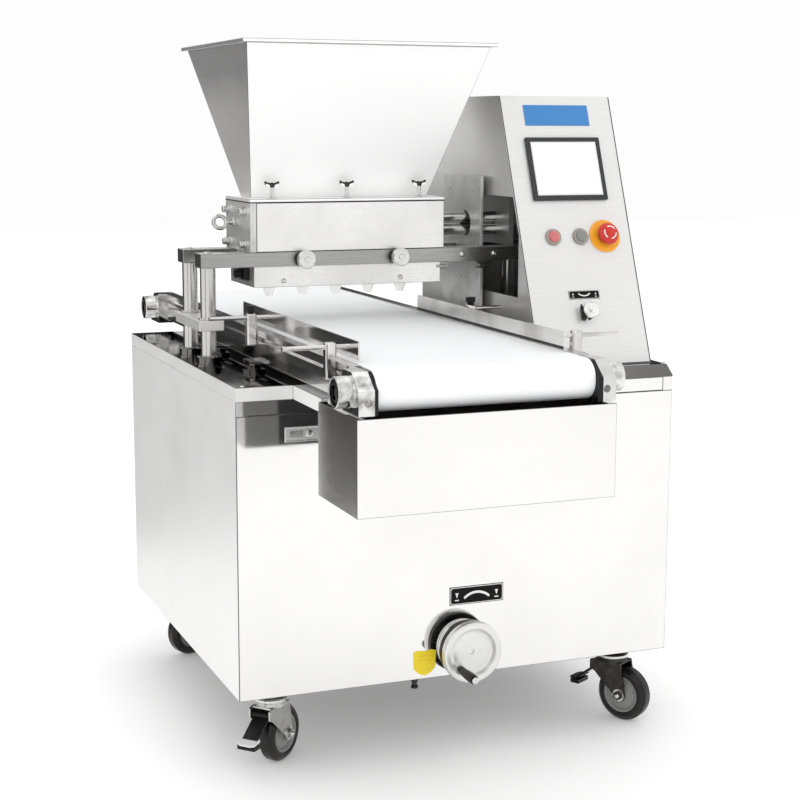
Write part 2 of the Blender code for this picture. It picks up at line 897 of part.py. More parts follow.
def belt_bed():
    """The plate that carries the belt between the rollers, with its ends folded down."""
    half = belt_width / 2 - roller_end_gap
    end = rear_axle_y - roller_radius - bed_end_gap
    top = roller_z + roller_radius
    bed = box("belt_bed", (line_x - half, -end, top - bed_thickness),
              (line_x + half, end, top), "brushed")
    for side in (-1, 1):
        a = side * end
        b = a - side * bed_thickness
        lip = box(f"bed_lip_{side}", (line_x - half, min(a, b), top - 3 * bed_thickness),
                  (line_x + half, max(a, b), top - bed_thickness / 2))
        join(bed, lip)


def guide(name, side):
    """A belt guide: a thin rail on two rods that slide in the clamps."""
    outer = line_x + side * (belt_width / 2 - guide_inset)
    inner = outer - side * guide_thickness
    z0 = belt_z + guide_over_belt
    y0 = front_y - guide_front_y
    rail = box(name, (min(outer, inner), y0, z0),
               (max(outer, inner), y0 + guide_length, z0 + guide_height), "brushed")
    for word, y in (("front", front_y - rod_front_y), ("rear", front_y + rod_rear_y)):
        short = side > 0 and word == "rear"
        length = short_rod_length if short else rod_length
        rod = cylinder(f"{name}_{word}_rod", (outer - side * guide_thickness / 2, y, rod_z),
                       (side, 0, 0), rod_radius, length, steps=small_steps)
        join(rail, rod)
    hang(bake(rail), (outer, front_y, rod_z))


def guide_clamps(frame):
    """Four posts on the rails' outer faces, each bored for a guide's rod."""
    for side in (-1, 1):
        a = line_x + side * (frame_half + rail_width - seam_gap)
        b = a + side * clamp_width
        for word, y in (("front", front_y - rod_front_y), ("rear", front_y + rod_rear_y)):
            post = box(f"clamp_{side}_{word}", (min(a, b), y - clamp_depth / 2,
                                                deck_z + clamp_bottom),
                       (max(a, b), y + clamp_depth / 2, deck_z + clamp_top), edge=clamp_bevel)
            bore = cylinder(f"rod_bore_{side}_{word}", (a - side * overrun, y, rod_z),
                            (side, 0, 0), rod_radius + rod_clearance,
                            clamp_width + 2 * overrun, steps=small_steps)
            join(frame, post)
            cut(frame, bore)


def guide_knobs():
    for side, word in ((-1, "left"), (1, "right")):
        x = line_x + side * (frame_half + rail_width + clamp_width / 2)
        guide_knob("guide_knob_" + word, (x, front_y + rod_rear_y, deck_z + clamp_top))


def guide_knob(name, place):
    """A small star knob with rounded lobes, which pinches a guide's rod."""
    outline = []
    count = knob_lobes * 6
    for n in range(count):
        turn = 2 * math.pi * n / count
        reach = knob_radius - knob_lobe_depth * (1 - math.cos(knob_lobes * turn)) / 2
        outline.append((place[0] + reach * math.cos(turn), place[1] + reach * math.sin(turn)))
    low = place[2] + seam_gap
    knob = prism(name, outline, "XY", low + knob_height / 3, low + knob_height, "black")
    neck = cylinder(name + "_neck", (place[0], place[1], low), "Z", 2 * knob_stem_radius,
                    knob_height / 2, steps=small_steps)
    join(knob, neck)
    hang(bake(knob), (place[0], place[1], low))


def crumb_tray():
    """A deep sheet tray with turned-in side lips that hang on the runners."""
    y0 = -conveyor_length / 2
    y1 = y0 + tray_depth
    top = deck_z + tray_top
    low = top - tray_height
    x0 = line_x - tray_half
    x1 = line_x + tray_half
    tray = box("crumb_tray", (x0, y0, low), (x1, y1, top), "polished")
    inside = box("tray_inside", (x0 + tray_wall, y0 + tray_wall, low + tray_wall),
                 (x1 - tray_wall, y1 - tray_wall, top + overrun))
    cut(tray, inside)
    for side, wall in ((-1, x0), (1, x1)):
        edge = wall - side * (tray_wall + tray_lip)
        near = wall - side * tray_wall / 2
        lip = box(f"tray_lip_{side}", (min(edge, near), y0 + tray_wall / 2, top - tray_wall),
                  (max(edge, near), y1 - tray_wall / 2, top))
        join(tray, lip)
    notch = box("tray_notch", (x0 - overrun, y1 - 2 * tray_wall, top - tray_back_drop),
                (x1 + overrun, y1 + overrun, top + overrun))
    cut(tray, notch)


def head_columns(name, x):
    """A front and a rear column with the tie plate that joins them above the deck."""
    low = yoke_z + yoke_thickness + seam_gap
    z = deck_z + tie_height
    plate = box(name, (x - tie_width / 2, bar_front_y - tie_overhang, z),
                (x + tie_width / 2, bar_rear_y + tie_overhang, z + tie_thickness), "brushed")
    for n, y in enumerate((bar_front_y, bar_rear_y)):
        join(plate, cylinder(f"{name}_{n}", (x, y, low), "Z", column_radius,
                             bar_z - seam_gap - low, steps=small_steps))


def bars():
    """The two long bars on the columns, which carry the pump housing."""
    for word, y in (("front", bar_front_y), ("rear", bar_rear_y)):
        bar = box(word + "_bar", (left_x + bar_left_inset, y - bar_depth / 2, bar_z),
                  (bar_end_x, y + bar_depth / 2, bar_z + bar_height), "brushed")
        if word == "front":
            for n, x in enumerate(thumb_places()):
                hole = cylinder(f"thumb_hole_{n}", (x, y - bar_depth / 2 - overrun,
                                                    bar_z + bar_height / 2), "Y",
                                thumb_stem_radius + seam_gap,
                                thumb_stem_length + 2 * overrun, steps=small_steps)
                cut(bar, hole)


def thumb_places():
    return [line_x + share * housing_length for share in thumb_places_share]


def thumb_screws():
    """Two turned thumb screws in the front bar, which clamp the nozzle block."""
    face = bar_front_y - bar_depth / 2 - seam_gap
    for word, x in zip(("left", "right"), thumb_places()):
        reach = thumb_collar_length + thumb_length
        profile = [(0, reach), (thumb_radius - thumb_edge, reach),
                   (thumb_radius, reach - thumb_edge),
                   (thumb_radius, thumb_collar_length + thumb_edge),
                   (thumb_radius - thumb_edge, thumb_collar_length),
                   (thumb_collar_radius, thumb_collar_length), (thumb_collar_radius, 0),
                   (thumb_stem_radius, 0), (thumb_stem_radius, -thumb_stem_length),
                   (0, -thumb_stem_length)]
        place = (x, face, bar_z + bar_height / 2)
        turned("thumb_screw_" + word, profile, place, (0, -1, 0), "polished",
               steps=small_steps)


def nozzle_places():
    middle = (nozzle_count - 1) / 2
    return [line_x + (n - middle) * nozzle_pitch for n in range(nozzle_count)]


def pump_housing():
    """The housing over the bars: an outer case round a bored block with its chamber."""
    x0 = line_x - housing_length / 2 + end_plate_thickness + seam_gap
    x1 = line_x + housing_length / 2
    y0 = head_y - housing_depth / 2
    y1 = head_y + housing_depth / 2
    inner_x = x1 - end_plate_thickness
    case = box("pump_housing", (x0, y0, housing_z), (x1, y1, housing_top_z), "polished")
    block = pump_block_depth / 2
    for word, a, b in (("front", y0 + housing_wall, head_y - block),
                       ("rear", head_y + block, y1 - housing_wall)):
        cut(case, box(word + "_cavity", (x0 - overrun, a, housing_z + housing_wall),
                      (inner_x, b, housing_top_z - housing_wall)))
    throat_z = rotor_upper_z + rotor_root_mean + rotor_lobe_depth
    cut(case, box("chamber", (x0 - overrun, head_y - chamber_width / 2,
                              housing_z + chamber_bottom),
                  (inner_x, head_y + chamber_width / 2, throat_z + overrun / 2)))
    cut(case, box("throat", (line_x - hopper_bottom_width / 2,
                             head_y - throat_width / 2, throat_z),
                  (line_x + hopper_bottom_width / 2 - overrun,
                   head_y + throat_width / 2, housing_top_z + overrun)))
    for n, x in enumerate(nozzle_places()):
        cut(case, cylinder(f"outlet_{n}", (x, head_y, housing_z - overrun), "Z",
                           outlet_radius, chamber_bottom + 2 * overrun, steps=small_steps))
    for word, z in (("upper", rotor_upper_z), ("lower", rotor_lower_z)):
        cut(case, cylinder(word + "_bearing", (inner_x - overrun, head_y, z), "X",
                           journal_radius + journal_clearance,
                           end_plate_thickness + 2 * overrun, steps=small_steps))


def end_plate():
    """The housing's left end plate, with blind bearings for both rotors."""
    x0 = line_x - housing_length / 2
    x1 = x0 + end_plate_thickness
    plate = box("left_end_plate", (x0, head_y - housing_depth / 2, housing_z),
                (x1, head_y + housing_depth / 2, housing_top_z), "brushed")
    for word, z in (("upper", rotor_upper_z), ("lower", rotor_lower_z)):
        cut(plate, cylinder(word + "_blind", (x1 - journal_depth - seam_gap, head_y, z), "X",
                            journal_radius + journal_clearance, journal_depth + overrun,
                            steps=small_steps))
    cut(plate, cylinder("ring_thread", (x0 - overrun, ring_y, ring_z), "X",
                        ring_stem_radius + seam_gap, overrun + ring_thread,
                        steps=small_steps))


def feed_rotor(name, z, offset):
    """A fluted rotor and its drive shaft; the lobes of one run in the flutes of the other."""
    x0 = line_x - housing_length / 2 + end_plate_thickness + 2 * rotor_end_gap
    x1 = line_x + housing_length / 2 - end_plate_thickness - rotor_end_gap
    count = rotor_lobes * rotor_points_per_lobe
    outline = []
    for n in range(count):
        turn = 2 * math.pi * n / count
        reach = rotor_root_mean - seam_gap
        reach += rotor_lobe_depth * math.cos(rotor_lobes * turn + offset)
        outline.append((head_y + reach * math.sin(turn), z + reach * math.cos(turn)))
    rotor = prism(name, outline, "YZ", x0, x1, "brushed")
    left = cylinder(name + "_journal", (x0 + overrun, head_y, z), (-1, 0, 0), journal_radius,
                    overrun + 2 * rotor_end_gap + journal_depth - seam_gap, steps=small_steps)
    right = cylinder(name + "_neck", (x1 - overrun, head_y, z), "X", journal_radius,
                     end_plate_thickness + rotor_end_gap + 2 * overrun, steps=small_steps)
    start = line_x + housing_length / 2 + seam_gap
    shaft = cylinder(name + "_shaft", (start, head_y, z), "X", shaft_radius,
                     shaft_end_x - seam_gap - start)
    join(rotor, left, right, shaft)
    hang(bake(rotor), (line_x, head_y, z))


def nozzle_block():
    """The bored block under the bars, with a spine that reaches up to the housing."""
    top = bar_z - seam_gap
    low = top - manifold_height
    x = manifold_length / 2
    block = box("nozzle_block", (line_x - x, head_y - manifold_depth / 2, low),
                (line_x + x, head_y + manifold_depth / 2, top), "brushed")
    join(block, box("spine", (line_x - x, head_y - spine_depth / 2, top - overrun),
                    (line_x + x, head_y + spine_depth / 2, housing_z - seam_gap)))
    for n, place in enumerate(nozzle_places()):
        cut(block, cylinder(f"feed_bore_{n}", (place, head_y, low - overrun), "Z",
                            outlet_radius, housing_z - low + overrun, steps=small_steps))


def nozzles():
    """A row of tapered nozzles, each flanged against the nozzle block."""
    top = bar_z - seam_gap - manifold_height - seam_gap
    bore = nozzle_tip_radius - nozzle_wall
    profile = [(nozzle_flange_radius, 0), (nozzle_flange_radius, -nozzle_flange),
               (nozzle_root_radius, -nozzle_flange), (nozzle_tip_radius, -nozzle_length),
               (bore, -nozzle_length), (nozzle_root_radius - nozzle_wall, 0)]
    for n, x in enumerate(nozzle_places()):
        turned(f"nozzle_{n + 1}", profile, (x, head_y, top), "Z", "clear_nozzle",
               steps=small_steps, closed=True)


def ring_handle():
    """A ring on a stem in the left end plate, turned by hand."""
    x = line_x - housing_length / 2
    centre = (x - ring_stem_length - ring_radius, ring_y, ring_z)
    profile = []
    for n in range(ring_wire_sides):
        turn = -2 * math.pi * n / ring_wire_sides
        profile.append((ring_radius + ring_wire * math.cos(turn), ring_wire * math.sin(turn)))
    ring = turned("ring_handle", profile, centre, (0, -ring_tilt, 1 - ring_tilt), "polished",
                  closed=True, steps=small_steps)
    stem = cylinder("ring_stem", (x + ring_thread - seam_gap, ring_y, ring_z), (-1, 0, 0),
                    ring_stem_radius, ring_stem_length + ring_thread, steps=small_steps)
    join(ring, stem)
    hang(bake(ring), (x, ring_y, ring_z))


def hopper():
    """Four sloping walls with a rim, on a flat flange that covers the housing."""
    bm = bmesh.new()
    bmesh.ops.create_cube(bm, size=1.0)
    low = hopper_z + hopper_flange / 2
    high = hopper_z + hopper_flange + hopper_height
    flat = [face for face in bm.faces if abs(face.normal.z) > abs(face.normal.x) + abs(face.normal.y)]
    for vert in bm.verts:
        upper = vert.co.z > 0
        width = hopper_top_width if upper else hopper_bottom_width
        depth = hopper_top_depth if upper else hopper_bottom_depth
        vert.co.x = line_x + math.copysign(width / 2, vert.co.x)
        vert.co.y = head_y + math.copysign(depth / 2, vert.co.y)
        vert.co.z = high if upper else low
    bmesh.ops.delete(bm, geom=flat, context="FACES_ONLY")
    mesh = bpy.data.meshes.new("hopper")
    bm.to_mesh(mesh)
    bm.free()
    walls = add_object("hopper", mesh, "polished")
    thick = walls.modifiers.new("sheet", "SOLIDIFY")
    thick.thickness = hopper_sheet
    thick.offset = -1
    thick.use_even_offset = True
    flange = box("hopper_flange",
                 (line_x - housing_length / 2, head_y - housing_depth / 2, hopper_z),
                 (line_x + housing_length / 2, head_y + housing_depth / 2,
                  hopper_z + hopper_flange))
    mouth_x = hopper_bottom_width / 2 - hopper_sheet
    mouth_y = hopper_bottom_depth / 2 - hopper_sheet
    top_x = hopper_top_width / 2
    top_y = hopper_top_depth / 2
    rim = box("hopper_rim", (line_x - top_x - hopper_rim_width, head_y - top_y - hopper_rim_width,
                             high - hopper_rim_height),
              (line_x + top_x + hopper_rim_width, head_y + top_y + hopper_rim_width, high))
    inset = 2 * hopper_sheet
    rim_hole = box("rim_hole", (line_x - top_x + inset, head_y - top_y + inset, low),
                   (line_x + top_x - inset, head_y + top_y - inset, high + overrun))
    cut(rim, rim_hole)
    cut(flange, box("hopper_mouth", (line_x - mouth_x, head_y - mouth_y, hopper_z - overrun),
                    (line_x + mouth_x, head_y + mouth_y, hopper_z + overrun)))
    join(walls, flange, rim)
    cut(walls, box("hopper_trim", (line_x - 2 * top_x, head_y - 2 * top_y, high),
                   (line_x + 2 * top_x, head_y + 2 * top_y, high + overrun)))
    wing_screws(walls)


def wing_screws(body):
    """Six wing screws along the hopper's flange, three in front and three behind."""
    base = hopper_z + hopper_flange - seam_gap
    for side in (-1, 1):
        y = head_y + side * (housing_depth / 2 - wing_inset)
        for n in range(wing_count):
            x = line_x + (n - (wing_count - 1) / 2) * wing_pitch
            join(body, cylinder(f"wing_{side}_{n}", (x, y, base), "Z", wing_stem_radius,
                                wing_stem_length, steps=small_steps))
            low = base + wing_stem_length - wing_height / 2
            outline = [(x, low), (x + wing_span / 2, low + wing_height / 2),
                       (x + wing_span / 2, low + wing_height), (x, low + wing_height / 2),
                       (x - wing_span / 2, low + wing_height),
                       (x - wing_span / 2, low + wing_height / 2)]
            join(body, prism(f"wing_leaf_{side}_{n}", outline, "XZ", y - wing_width / 2,
                             y + wing_width / 2))


def upright_plate():
    """The right-hand cheek plate: the bars pass through it, and the shafts through its eye."""
    x0 = belt_right_x + upright_out - upright_thickness / 2
    x1 = x0 + upright_thickness
    plate = box("upright_plate", (x0, front_y + upright_front_y, deck_z + upright_bottom),
                (x1, front_y + upright_rear_y, deck_z + upright_top), "brushed")
    for word, y in (("front", bar_front_y), ("rear", bar_rear_y)):
        half = bar_depth / 2 + seam_gap
        cut(plate, box(word + "_bar_slot", (x0 - overrun, y - half, bar_z - seam_gap),
                       (x1 + overrun, y + half, bar_z + bar_height + seam_gap)))
    eye_z = (rotor_upper_z + rotor_lower_z) / 2
    cut(plate, cylinder("shaft_eye", (x0 - overrun, head_y, eye_z), "X",
                        upright_hole_radius, upright_thickness + 2 * overrun))


def feed_motor():
    """The plate inside the control box that stands on the bars, with its finned motor."""
    x1 = shaft_end_x + drive_wall
    x0 = x1 - motor_plate
    low = bar_z + bar_height + seam_gap
    plate = box("feed_motor", (x0, bar_front_y, low),
                (x1, bar_rear_y, low + motor_plate_height), "cast")
    for word, z in (("upper", rotor_upper_z), ("lower", rotor_lower_z)):
        cut(plate, cylinder(word + "_drive_bore", (x0 - overrun, head_y, z), "X",
                            shaft_radius + journal_clearance,
                            overrun + motor_plate - drive_wall))
    start = x1 - seam_gap
    end = motor_length + motor_boss_length
    profile = [(0, end), (motor_radius / 2, end)]
    pitch = (motor_length - motor_boss_length) / motor_fin_count
    root = motor_radius - motor_fin_depth
    for n in range(motor_fin_count):
        high = motor_length - n * pitch
        profile += [(motor_radius, high), (motor_radius, high - pitch / 2),
                    (root, high - pitch / 2), (root, high - pitch)]
    profile += [(motor_boss_radius, motor_boss_length), (motor_boss_radius, 0), (0, 0)]
    join(plate, turned("motor_body", profile, (start, head_y, rotor_upper_z), "X",
                       steps=small_steps))


def lift_yoke():
    """The plate inside the cabinet that joins all four columns, with the screw's nut."""
    margin = column_inset - column_radius
    yoke = box("lift_yoke", (left_x + margin, head_y - yoke_depth / 2, yoke_z),
               (column_right_x + column_radius + margin, head_y + yoke_depth / 2,
                yoke_z + yoke_thickness), "dark_steel")
    join(yoke, cylinder("lift_nut", (screw_x, head_y, yoke_z + seam_gap), (0, 0, -1),
                        nut_radius, nut_height))
    cut(yoke, cylinder("nut_bore", (screw_x, head_y, yoke_z - nut_height - overrun), "Z",
                       screw_radius + nut_clearance,
                       nut_height + yoke_thickness + 2 * overrun))


def bevel_gear(name, apex, outward, phase, kind=None):
    """A bevel gear whose pitch cone's point is the apex; outward points to its large end."""
    bm = bmesh.new()
    reach = bevel_gear_radius - bevel_backlash
    count = 4 * bevel_teeth
    ring = []
    for n in range(count):
        turn = 2 * math.pi * (n + phase) / count
        crown = reach + (bevel_tooth_depth / 2 if n % 4 in (0, 1) else -bevel_tooth_depth / 2)
        if n % 4 in (0, 1):
            turn += (1 - 2 * (n % 4)) * tooth_taper_share * math.pi / count
        ring.append(bm.verts.new((crown * math.cos(turn), crown * math.sin(turn),
                                  bevel_gear_radius)))
    face = bm.faces.new(ring)
    grown = bmesh.ops.extrude_face_region(bm, geom=[face])
    moved = [v for v in grown["geom"] if isinstance(v, bmesh.types.BMVert)]
    inner = 1 - bevel_gear_width / bevel_gear_radius
    for vert in moved:
        vert.co *= inner
    bmesh.ops.transform(bm, matrix=Matrix.Translation(apex) @ along(outward), verts=bm.verts)
    return add_object(name, mesh_of(name, bm), kind)


def lift_screw():
    """The upright screw with its bevel gear; it stands in the foot bearing."""
    low = cabinet_z + frame_floor + seam_gap
    high = yoke_z + head_range + screw_spare
    screw = cylinder("lift_screw", (screw_x, head_y, low), "Z", screw_radius, high - low,
                     "brushed", steps=small_steps)
    gear = bevel_gear("lift_gear", (screw_x, head_y, handwheel_z), (0, 0, -1),
                      gear_phase_steps)
    join(screw, gear)
    hang(bake(screw), (screw_x, head_y, handwheel_z))


def drive_shaft():
    """The shaft behind the handwheel, with the bevel pinion on its inner end."""
    start = front_y - handwheel_standoff - handwheel_width / 2
    end = head_y - bevel_gear_radius
    shaft = cylinder("handwheel_shaft", (screw_x, start, handwheel_z), "Y",
                     drive_shaft_radius, end - start + seam_gap, steps=small_steps)
    pinion = bevel_gear("lift_pinion", (screw_x, head_y, handwheel_z), (0, -1, 0),
                        pinion_phase_steps)
    return shaft, pinion


def handwheel():
    """A dished handwheel with a crank pin, its loose grip, and the boss behind it."""
    centre = (screw_x, front_y, handwheel_z)
    back = handwheel_standoff
    front = back + handwheel_width
    web = (back + front) / 2
    bore = drive_shaft_radius + seam_gap
    inner = handwheel_radius - handwheel_rim
    profile = [(0, front - handwheel_dish), (handwheel_hub_radius, front - handwheel_dish),
               (handwheel_hub_radius, web + handwheel_web / 2),
               (inner - handwheel_slope, web + handwheel_web / 2), (inner, front - handwheel_slope),
               (inner + handwheel_rim / 3, front), (handwheel_radius - handwheel_rim / 3, front),
               (handwheel_radius, front - handwheel_slope), (handwheel_radius, back + handwheel_slope),
               (handwheel_radius - handwheel_rim / 3, back), (inner, back),
               (inner - handwheel_slope, web - handwheel_web / 2),
               (handwheel_hub_radius, web - handwheel_web / 2), (handwheel_hub_radius, back),
               (0, back)]
    wheel = turned("handwheel", profile, centre, (0, -1, 0), "brushed")
    turn = 2 * math.pi * crank_angle_turns
    x = screw_x + crank_offset * math.cos(turn)
    z = handwheel_z + crank_offset * math.sin(turn)
    foot = front_y - web
    grip_y = front_y - front - seam_gap
    pin_length = foot - grip_y + crank_length + seam_gap
    pin = cylinder("crank_pin", (x, foot, z), (0, -1, 0), crank_pin_radius, pin_length,
                   steps=small_steps)
    boss = cylinder("crank_boss", (x, foot, z), (0, -1, 0), crank_radius,
                    foot - grip_y - seam_gap, steps=small_steps)
    head = cylinder("crank_head", (x, foot - pin_length, z), (0, -1, 0), crank_pin_head,
                    crank_pin_head / 2, steps=small_steps)
    join(wheel, pin, boss, head, *drive_shaft())
    hang(bake(wheel), centre)
    edge = crank_radius / 4
    hole = crank_pin_radius + seam_gap
    grip = [(hole, crank_length), (crank_radius - edge, crank_length),
            (crank_radius, crank_length - edge), (crank_radius - edge / 2, crank_length / 2),
            (crank_radius - edge, edge), (crank_radius - 2 * edge, 0), (hole, 0)]
    turned("crank_grip", grip, (x, grip_y, z), (0, -1, 0), "black", closed=True,
           steps=small_steps)
    dish = [(boss_bush_radius, boss_depth), (boss_radius - boss_depth / 2, boss_depth),
            (boss_radius, boss_depth / 2), (boss_radius, seam_gap), (boss_bush_radius, seam_gap),
            (boss_bush_radius, -boss_bush_length), (bore, -boss_bush_length), (bore, boss_depth)]
    turned("handwheel_boss", dish, centre, (0, -1, 0), "cast", closed=True)


def control_outline(inset, front, low):
    """The control box's side outline in YZ; front moves its leaning edge back."""
    foot = control_y0 + front
    top = control_z1 - inset
    return [(foot + (low - control_z0) * control_lean, low), (control_y1 - inset, low),
            (control_y1 - inset, top), (foot + (top - control_z0) * control_lean, top)]


def control_box():
    """The folded case of the control column, with a window for the bars and shafts."""
    back = (control_panel_thickness + seam_gap) / math.cos(lean)
    case = prism("control_box", control_outline(0, back, control_z0), "YZ", control_x0,
                 control_x1, "brushed")
    hollow = prism("control_hollow", control_outline(control_sheet, back - overrun,
                                                     control_z0 - overrun), "YZ",
                   control_x0 + control_sheet, control_x1 - control_sheet)
    window = box("control_window", (control_x0 - overrun, front_y + window_front,
                                    deck_z + window_bottom),
                 (control_x0 + overrun, front_y + window_rear, deck_z + window_top))
    cut(case, hollow, window)


def control_panel():
    """The leaning front plate with its holes, and everything that is set in it."""
    back = control_panel_thickness / math.cos(lean)
    outline = control_outline(0, 0, control_z0)
    foot, _, _, top = outline
    plate = prism("control_panel", [foot, (foot[0] + back, foot[1]), (top[0] + back, top[1]), top],
                  "YZ", control_x0, control_x1, "panel_grey")
    tub_w = screen_width - 2 * screen_tub_inset
    tub_h = screen_height - 2 * screen_tub_inset
    cut(plate, panel_box("screen_opening", 0, screen_up, tub_w + 2 * seam_gap,
                         tub_h + 2 * seam_gap, -overrun, overrun))
    cut(plate, cylinder("dial_hole", on_panel(0, dial_up, -overrun), panel_out,
                        dial_stem_radius + seam_gap, 2 * overrun, steps=small_steps))
    bezel = panel_box("screen", 0, screen_up, screen_width, screen_height, seam_gap,
                      screen_depth, "black")
    join(bezel, panel_box("screen_tub_body", 0, screen_up, tub_w, tub_h, -screen_tub, seam_gap * 2))
    glass_w = screen_width - 2 * screen_frame
    glass_h = screen_height - 2 * screen_frame
    cut(bezel, panel_box("screen_recess", 0, screen_up, glass_w, glass_h,
                         screen_depth - glass_inset, screen_depth + overrun))
    bezels(plate)


def bezels(plate):
    """The two ringed button seats and the emergency stop's disc, fixed in the panel."""
    inner = button_radius + 2 * seam_gap
    for n in (0, 1):
        profile = [(0, bezel_height), (bezel_radius - bezel_wall / 4, bezel_height),
                   (bezel_radius, bezel_height / 2), (bezel_radius, -seam_gap),
                   (bezel_neck_radius, -seam_gap), (bezel_neck_radius, -bezel_neck_length),
                   (0, -bezel_neck_length)]
        place = on_panel(button_places[n], button_up)
        join(plate, turned(f"bezel_{n}", profile, place, panel_out, steps=small_steps))
        cut(plate, cylinder(f"bezel_bore_{n}",
                            on_panel(button_places[n], button_up, -bezel_neck_length - overrun),
                            panel_out, inner, bezel_neck_length + bezel_height + 2 * overrun,
                            steps=small_steps))
    neck = stop_stem_radius + stop_neck
    disc = [(0, stop_disc_height + bezel_height / 2), (neck, stop_disc_height + bezel_height / 2),
            (neck, stop_disc_height), (stop_disc_radius, stop_disc_height),
            (stop_disc_radius, -seam_gap), (neck, -seam_gap), (neck, -bezel_neck_length),
            (0, -bezel_neck_length)]
    place = on_panel(button_places[2], button_up)
    join(plate, turned("stop_disc", disc, place, panel_out))
    cut(plate, cylinder("stop_bore",
                        on_panel(button_places[2], button_up, -bezel_neck_length - overrun),
                        panel_out, stop_stem_radius + seam_gap,
                        bezel_neck_length + bezel_height + 2 * overrun))


def buttons():
    """Two push buttons, the emergency stop and the small crank."""
    for n, word in ((0, "start"), (1, "stop")):
        place = on_panel(button_places[n], button_up)
        top = bezel_height + button_stand
        cap = [(0, top), (button_radius - button_edge, top), (button_radius, top - button_edge),
               (button_radius, -button_stroke), (button_stem_radius, -button_stroke),
               (button_stem_radius, -button_stem_length), (0, -button_stem_length)]
        turned(word + "_button", cap, place, panel_out, "red" if n == 0 else "grey")
    place = on_panel(button_places[2], button_up)
    foot = stop_disc_height + bezel_height / 2 + stop_stroke + seam_gap
    top = foot + stop_cap_height
    cap = [(0, top), (stop_cap_radius / 2, top - stop_cap_height / 12),
           (stop_cap_radius * stop_cap_shoulder_share, top - stop_cap_height / 4),
           (stop_cap_radius, top - stop_cap_height / 2),
           (stop_cap_radius, foot + stop_cap_height / 5), (stop_cap_radius - stop_neck, foot),
           (stop_stem_radius, foot), (stop_stem_radius, -stop_stem_length), (0, -stop_stem_length)]
    turned("emergency_stop", cap, place, panel_out, "red")
    place = on_panel(0, dial_up)
    profile = [(0, dial_height), (dial_radius * dial_edge_share, dial_height),
               (dial_radius, dial_height * dial_edge_share),
               (dial_radius, seam_gap), (dial_stem_radius, seam_gap),
               (dial_stem_radius, -dial_stem_length), (0, -dial_stem_length)]
    knob = turned("adjusting_knob", profile, place, panel_out, "cast")
    handle = cylinder("adjusting_handle", on_panel(dial_handle_offset, dial_up, dial_height - seam_gap),
                      panel_out, dial_handle_radius, dial_handle_length, steps=small_steps)
    join(knob, handle)
    hang(bake(knob), place)


def wheel_profile():
    """A solid wheel with a rounded tread and dished faces, as radius and height."""
    half = wheel_width / 2
    boss = half - seam_gap
    bore = axle_radius + seam_gap
    return [(bore, boss), (wheel_boss_radius, boss), (wheel_boss_radius, half - wheel_dish),
            (wheel_hub_radius, half - wheel_dish), (wheel_hub_radius, boss - wheel_shoulder / 4),
            (wheel_radius - wheel_shoulder, boss - wheel_shoulder / 4),
            (wheel_radius, half - wheel_shoulder),
            (wheel_radius, wheel_shoulder - half),
            (wheel_radius - wheel_shoulder, wheel_shoulder / 4 - boss),
            (wheel_hub_radius, wheel_shoulder / 4 - boss), (wheel_hub_radius, wheel_dish - half),
            (wheel_boss_radius, wheel_dish - half), (wheel_boss_radius, -boss), (bore, -boss)]


def castors():
    """Four castors: a fork that swivels, a wheel, and a brake pedal on the front pair."""
    for word, (cx, cy, turns, brake) in caster_places().items():
        swivel = Matrix.Translation((cx, cy, 0)) @ Matrix.Rotation(2 * math.pi * turns, 4, "Z")
        fork = caster_fork("fork_" + word, brake)
        fork.data.transform(swivel @ fork.matrix_world)
        fork.matrix_world = Matrix.Identity(4)
        hang(fork, (cx, cy, fork_crown_height))
        axle = swivel @ Matrix.Translation((fork_trail, 0, wheel_radius)) @ along("Y")
        wheel = turned("wheel_" + word, wheel_profile(), (0, 0, 0), "Z", "tyre", closed=True,
                       steps=round_steps)
        wheel.matrix_world = axle
        if brake:
            pedal = brake_pedal("brake_pedal_" + word)
            pedal.data.transform(swivel @ pedal.matrix_world)
            pedal.matrix_world = Matrix.Identity(4)
            hang(pedal, swivel @ Vector((-pedal_pivot_back, 0, pedal_pivot_height)))


def caster_fork(name, brake):
    """A crown plate with a bearing race, two tapered legs and the axle bolt."""
    crown = fork_crown_height
    outer = wheel_width / 2 + fork_leg_gap + fork_sheet
    plate = box(name, (-fork_crown_length / 2, -outer, crown - fork_sheet),
                (fork_crown_length / 2, outer, crown), "brushed")
    race = turned(name + "_race", [(0, race_height), (race_radius, race_height),
                                   (race_radius, race_height - fork_sheet),
                                   (race_radius * race_waist_share, race_height / 2),
                                   (race_radius, -fork_sheet / 2),
                                   (0, -fork_sheet / 2)], (0, 0, crown), "Z",
                  steps=small_steps)
    join(plate, race)
    back = -fork_crown_length / 2
    toe = fork_foot * fork_toe_share
    sole = wheel_radius - fork_foot * fork_drop_share
    outline = [(back, crown), (fork_crown_length / 2, crown),
               (fork_trail + fork_foot, wheel_radius), (fork_trail + toe, sole),
               (fork_trail - toe, sole),
               (fork_trail - fork_foot, wheel_radius)]
    if brake:
        outline += [(-pedal_pivot_back, pedal_pivot_height - fork_ear),
                    (-pedal_pivot_back - fork_ear, pedal_pivot_height - fork_ear / 2),
                    (-pedal_pivot_back - fork_ear, crown - fork_sheet)]
    for side in (-1, 1):
        a = side * (outer - fork_sheet)
        b = side * outer
        join(plate, prism(f"{name}_leg_{side}", outline, "XZ", min(a, b), max(a, b)))
    bolt = cylinder(name + "_axle", (fork_trail, -outer - bolt_head_height, wheel_radius), "Y",
                    axle_radius, 2 * (outer + bolt_head_height), steps=small_steps)
    join(plate, bolt)
    for side in (-1, 1):
        head = cylinder(f"{name}_nut_{side}", (fork_trail, side * (outer - seam_gap), wheel_radius),
                        (0, side, 0), bolt_head_radius, bolt_head_height, steps=6)
        join(plate, head)
    return bake(plate)


